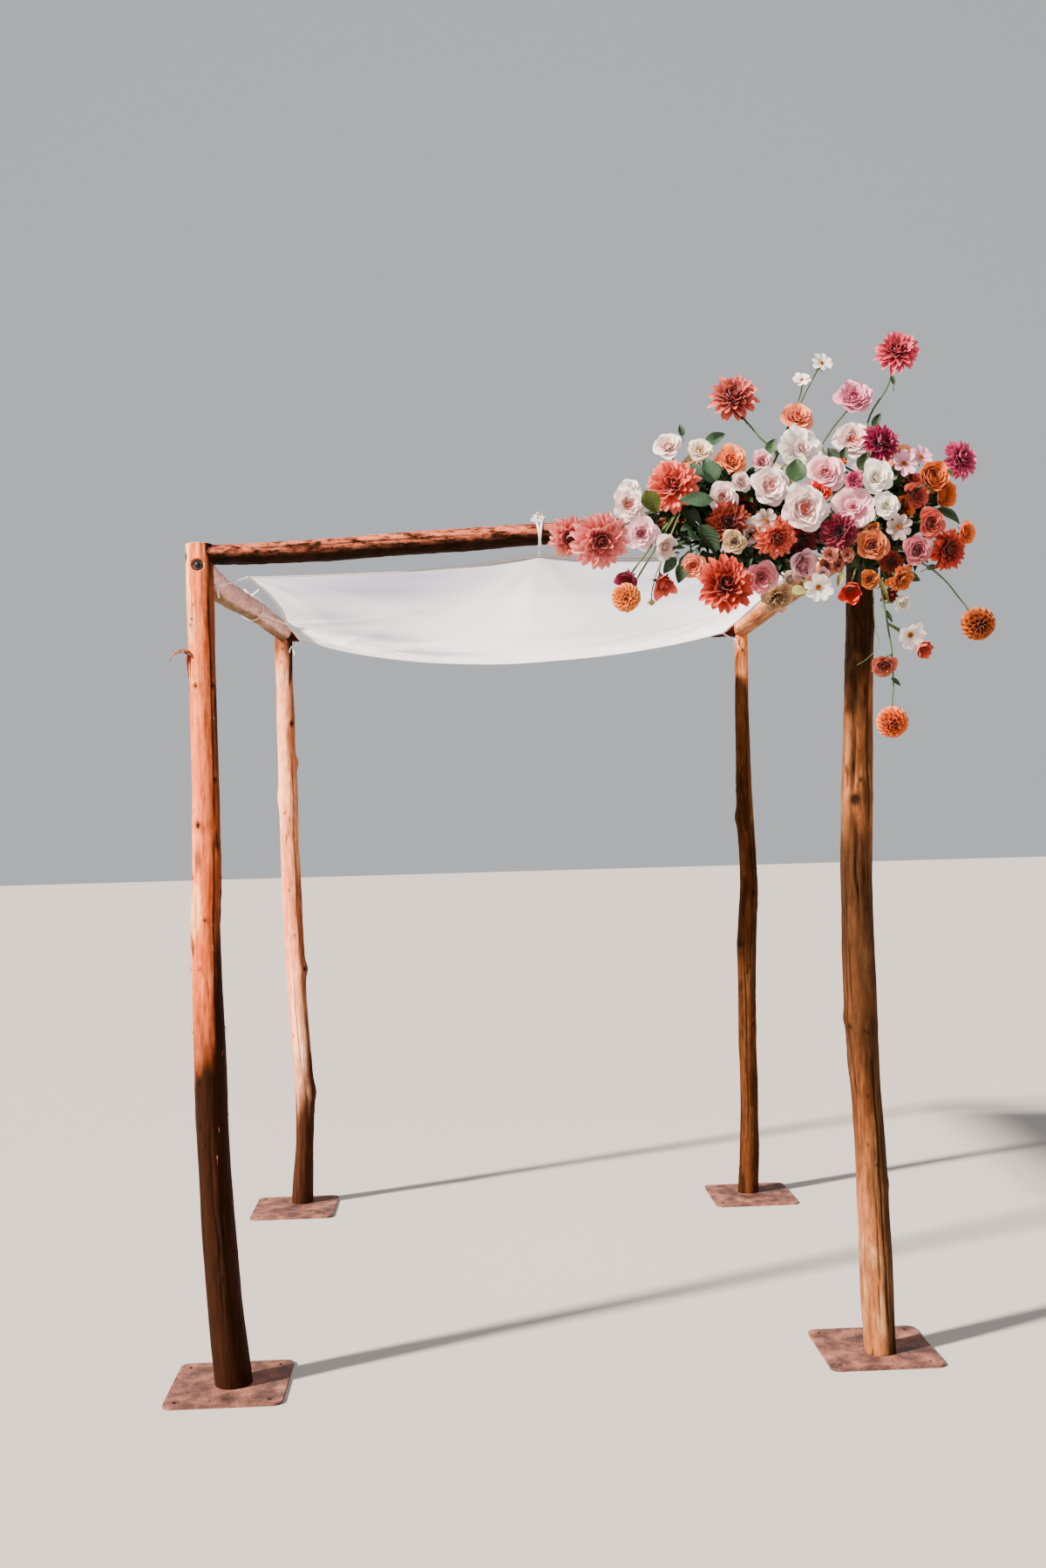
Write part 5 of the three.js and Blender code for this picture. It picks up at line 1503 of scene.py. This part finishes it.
def stem_between(start, end, face, reach):
    """A stem that leaves its root straight and meets the back of a head."""
    gap = np.linalg.norm(end - start)
    back = end - unit(face) * reach
    return bezier(start, start + (end - start) * 0.3, back - unit(face) * 0.22 * gap, back, 14)


def build_head(blooms, greens, path, head, rng):
    """A head with its sepals, and its stem from the nearest place on the spray's own stem. Heads
    behind the rear layer face backwards."""
    x, z, radius, depth, kind, colours, lean_x, lean_z, *bends = head
    place, share = seen(x, z, depth)
    size = radius * share * SWELL.get(kind, 1.15)
    face = 0.3 * unit(place - path[0]) + np.array([lean_x, -1.0 if depth <= REAR else 1.0, lean_z])
    matrix = turned(face, rng.uniform(0, TURN))
    for grid, colour in KINDS[kind](PALETTES[colours], rng):
        blooms.add(grid @ matrix.T * size + place, colour)
    calyx(greens, matrix, size, place, rng)
    usable = [point for point in path if point[2] >= place[2] - 5] or path[:1]
    start = min(usable, key=lambda point: np.linalg.norm(point - place))
    line = stem_between(start, place, face, 0.55 * size)
    if bends:
        places = [start] + [seen(*bend, REAR)[0] for bend in bends] + [line[-1]]
        line = curve_through(places, np.linspace(0, 1, 18))
    thick = np.linspace(STEM, STEM * 0.8, len(line)) * min(1.0, 0.45 + size / 60)
    greens.add_one(tube(line, thick), DARK_STEM if z > TALL else STEM_TINT)


def build_sprays(materials):
    rng = np.random.default_rng(42)
    for name, (root, slot, heads) in SPRAYS.items():
        blooms, greens = Sheets(), Sheets()
        path = [np.array(root, float)] + [seen(x, z, MIDDLE)[0] for x, z in ROUTES.get(name, [])]
        if len(path) > 1:
            line = curve_through(path, np.linspace(0, 1, 8 * len(path)))
            line = line + 3 * noise(line, 60, 2)[:, None] * np.array([1.0, 0.4, 0])
            greens.add_one(tube(line, np.linspace(STEM * 1.2, STEM * 0.6, len(line))), DARK_STEM)
        for head in heads:
            build_head(blooms, greens, path, head, rng)
        blooms.piece(name + "_petals", materials["petal"], slot, name)
        greens.piece(name + "_greens", materials["leaf"], "stem_green", name)


# Leaves that show: x and z in the sight plane, depth, length, width, turn in the picture, tone, fold.
SHOWN_LEAVES = [
    [338, 2494, -1120, 78, 62, -60, "olive", 0.2], [468, 2500, -1180, 104, 46, 178, "grey", 0.2],
    [510, 2584, -1080, 80, 58, 110, "grey", 0.3], [528, 2676, -1020, 64, 36, 20, "grey", 0.3],
    [762, 2580, -1160, 74, 62, 80, "green", 0.25], [472, 2575, -1090, 70, 36, -60, "grey", 0.4],
    [455, 2448, -1060, 92, 44, -55, "dark", 0.4], [500, 2385, -1130, 104, 62, -62, "dark", 0.5],
    [740, 2395, -1060, 70, 36, 250, "dark", 0.4], [838, 2402, -1090, 76, 40, 260, "dark", 0.4],
    [862, 2440, -1140, 60, 24, 95, "green", 0.4], [960, 2602, -1090, 60, 40, 60, "dark", 0.3],
    [990, 2590, -1100, 52, 30, 30, "grey", 0.3], [1206, 2440, -1070, 84, 40, -30, "dark", 0.4],
    [1090, 2262, -1080, 56, 32, -20, "grey", 0.3], [1006, 2232, -1110, 96, 16, -62, "light", 0.5],
    [760, 2230, -1110, 52, 30, -10, "light", 0.3], [420, 2290, -1080, 70, 40, 250, "dark", 0.4],
    [385, 2310, -1070, 60, 34, 230, "green", 0.4], [330, 2440, -1010, 70, 40, 200, "dark", 0.4],
    [430, 2700, -1010, 40, 20, 100, "dark", 0.4], [690, 2650, -1000, 56, 30, 60, "green", 0.4],
    [870, 2620, -1010, 60, 34, 120, "dark", 0.4], [1100, 2540, -1020, 70, 36, 40, "dark", 0.4],
    [1150, 2480, -1030, 70, 36, -10, "green", 0.4], [1205, 2560, -1010, 60, 30, 10, "green", 0.4],
    [900, 2620, -1000, 60, 30, 70, "dark", 0.4], [1000, 2720, -965, 50, 24, 60, "dark", 0.4],
    [1050, 2840, -955, 40, 14, 100, "dark", 0.4], [600, 2740, -955, 40, 14, 140, "dark", 0.4],
    [640, 2290, -1060, 60, 34, 200, "dark", 0.4], [600, 2330, -1070, 60, 34, 240, "green", 0.4],
    [880, 2260, -1100, 46, 22, 250, "light", 0.4], [1020, 2150, -1085, 46, 14, -60, "green", 0.4],
    [1150, 2290, -1085, 40, 18, 20, "dark", 0.4], [1035, 1960, -1085, 40, 14, -40, "green", 0.4],
    [830, 2369, -1000, 76, 44, 20, "dark", 0.4], [724, 2334, -990, 64, 40, 70, "dark", 0.4],
    [622, 2356, -990, 64, 40, 110, "dark", 0.4],
    [700, 2300, -1040, 60, 40, 260, "dark", 0.4], [560, 2300, -1040, 70, 40, 230, "dark", 0.4],
]
# Filling leaves: how many, their middle and spread, as x, y and z, and the lengths of all.
FILL_LEAVES = {
    "left_foliage": (240, [560, -1000, 2470], [175, 60, 90]),
    "low_foliage": (170, [610, -1035, 2350], [210, 40, 65]),
    "right_foliage": (260, [1000, -1020, 2420], [130, 60, 150]),
    "back_foliage": (100, [590, -870, 2490], [150, 30, 60]),
}
FILL_LENGTHS = (45, 80)


def leaves(base, way, up, long, wide, fold, droop, rows=8, cols=4):
    """Grids of leaves that start at base and run along way, folded on their midrib and drooping."""
    base, way, up = (np.asarray(value, float).reshape(-1, 3) for value in (base, way, up))
    way = unit(way)
    up = unit(up - way * (up * way).sum(axis=1, keepdims=True))
    side = np.cross(way, up)
    s = np.linspace(0, 1, rows + 1)[None, :, None]
    w = np.linspace(-1, 1, cols + 1)[None, None]
    long, wide, fold, droop = (np.reshape(value, (-1, 1, 1)) for value in (long, wide, fold, droop))
    half = wide / 2 * np.sin(math.pi * s ** 0.8) ** 0.85
    x = half * w
    lift = fold * np.abs(x) - droop * long * s ** 2 + 0.05 * wide * np.sin(7 * s + 3 * w)
    along = long * s * (1 - 0.12 * droop * s)
    return (base[:, None, None] + along[..., None] * way[:, None, None]
            + x[..., None] * side[:, None, None] + lift[..., None] * up[:, None, None])


def shown_leaves(rng):
    """The leaves that show, each on its own short stalk, and the tendril."""
    sheets = Sheets()
    for x, z, depth, long, wide, angle, tone, fold in SHOWN_LEAVES:
        place, share = seen(x, z, depth)
        turn = math.radians(angle)
        way = np.array([math.cos(turn), rng.uniform(-0.3, 0.1), math.sin(turn)])
        up = np.array([rng.normal(0, 0.2), -1, 0.25 + rng.normal(0, 0.2)])
        base = place - unit(way) * long * share / 2
        grid = leaves(base, way, up, long * share, wide * share, fold, 0.15)
        sheets.add(grid, LEAF[tone] * rng.uniform(0.85, 1.15), True)
        start = base - unit(way) * 14 + np.array([0, 12, 0])
        sheets.add_one(tube(bezier(start, start, base, base + unit(way) * 6, 6), 1.3, 6), STEM_TINT)
    line = curve_through([seen(x, z, FRONT)[0] for x, z in TENDRIL], np.linspace(0, 1, 40))
    sheets.add_one(tube(line, np.linspace(1.6, 0.7, 40), 6), STEM_TINT)
    return sheets


def fill_leaves(many, middle, size, rng):
    """Leaves scattered over a rounded heap."""
    tones = [LEAF["dark"], LEAF["dark"] * 0.7, LEAF["green"], LEAF["green"] * 0.7, LEAF["grey"] * 0.8]
    spot = unit(rng.normal(size=(many, 3)))
    place = np.array(middle) + spot * np.array(size) * rng.uniform(0.55, 1.0, (many, 1))
    way = spot * np.array([1.0, 0.8, 0.7]) + 0.5 * rng.normal(size=(many, 3))
    up = spot + np.array([0, -0.3, 0.8]) + 0.4 * rng.normal(size=(many, 3))
    long = rng.uniform(*FILL_LENGTHS, many)
    wide = long * rng.uniform(0.35, 0.55, many)
    grid = leaves(place, way, up, long, wide, rng.uniform(0.2, 0.6, many), rng.uniform(0.05, 0.3, many))
    tone = np.array([tones[number] for number in rng.integers(0, len(tones), many)])
    sheets = Sheets()
    sheets.add(grid, tone[:, None, None], True)
    return sheets


def build_leaves(material):
    rng = np.random.default_rng(77)
    shown_leaves(rng).piece("shown_leaves", material, "leaf_green")
    for name, heap in FILL_LEAVES.items():
        fill_leaves(*heap, rng).piece(name, material, "leaf_green")


# Foam holders: lowest and highest corners. Each sits in a cage of thin bars.
HOLDERS = {
    "flower_holder_left": ([410, -994, 2464], [690, -884, 2536]),
    "flower_holder_right": ([912, -1048, 2300], [1012, -974, 2535]),
}
CAGE_STEP, CAGE_BAR = 40, 1.5


def cage_bar(low, high, main, place):
    """A loop round a block, square to one of its axes at a place along it."""
    steps = np.arange(0, 4, 1 / 8)
    loop = np.full((len(steps), 3), place)
    others = [axis for axis in range(3) if axis != main]
    for axis, corners in zip(others, ([0, 1, 1, 0, 0], [0, 0, 1, 1, 0])):
        width = high[axis] - low[axis] + 2 * CAGE_BAR
        loop[:, axis] = low[axis] - CAGE_BAR + np.interp(steps, range(5), corners) * width
    return loop


def build_cages(material):
    for name, (low, high) in HOLDERS.items():
        sheets = Sheets()
        for main in range(3):
            long = high[main] - low[main]
            for share in np.linspace(0.08, 0.92, 2 + long // CAGE_STEP):
                bar = cage_bar(low, high, main, low[main] + share * long)
                sheets.add_one(tube(bar, CAGE_BAR, 6, closed=True), LEAF["dark"])
        sheets.piece(name + "_cage", material, "foam_holder")


def dress_nodes(plate, holder):
    """Materials for the solids that stay as they are."""
    for name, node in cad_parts.items():
        if name.endswith("_base_plate") or name in HOLDERS:
            node.data.materials.clear()
            node.data.materials.append(plate if name.endswith("_base_plate") else holder)


# Studio: a pale floor in metres, surroundings that are paler behind, from their lowest to their highest
# strength, and a warm key from the left and a soft fill as way, strength, colour and width in degrees.
FLOOR_SIZE = 60
SURROUND = (0.28, 0.64)
LIGHTS = {
    "key": ((0.76, 0.36, -0.55), 20.5, "ffeee2", 4),
    "fill": ((0.05, 0.93, -0.36), 1.5, "f8f0ee", 60),
}


def studio_floor():
    bpy.ops.mesh.primitive_plane_add(size=FLOOR_SIZE, location=(0, 0, 0))
    floor = bpy.context.object
    floor.name = "floor"
    paint = Shader("pale_floor")
    paint.set(Base_Color=rgba("aaa6a1"), Roughness=0.9, Specular_IOR_Level=0.1)
    floor.data.materials.append(paint.material)


def surroundings():
    world = bpy.data.worlds.new("pale")
    bpy.context.scene.world = world
    world.use_nodes = True
    tree = world.node_tree
    background = tree.nodes["Background"]
    background.inputs["Color"].default_value = rgba("eef0f4")
    place = tree.nodes.new("ShaderNodeTexCoord")
    split = tree.nodes.new("ShaderNodeSeparateXYZ")
    level = tree.nodes.new("ShaderNodeMapRange")
    level.inputs["From Min"].default_value = -1
    level.inputs["To Min"].default_value, level.inputs["To Max"].default_value = SURROUND
    tree.links.new(place.outputs["Generated"], split.inputs[0])
    tree.links.new(split.outputs["Y"], level.inputs["Value"])
    tree.links.new(level.outputs[0], background.inputs["Strength"])


def lights():
    for name, (way, strength, colour, width) in LIGHTS.items():
        data = bpy.data.lights.new(name, "SUN")
        data.energy = strength
        data.angle = math.radians(width)
        data.color = rgb(colour)
        lamp = bpy.data.objects.new(name, data)
        lamp.rotation_mode = "QUATERNION"
        lamp.rotation_quaternion = Vector(way).to_track_quat("-Z", "Y")
        bpy.context.scene.collection.objects.link(lamp)


def main():
    materials = {"petal": petal(), "leaf": leafy()}
    build_logs()
    build_loose_bark()
    build_bolts(steel())
    build_ties()
    build_cloth()
    build_sprays(materials)
    build_leaves(materials["leaf"])
    build_cages(materials["leaf"])
    dress_nodes(rust(), foam())
    camera()
    studio_floor()
    surroundings()
    lights()


main()
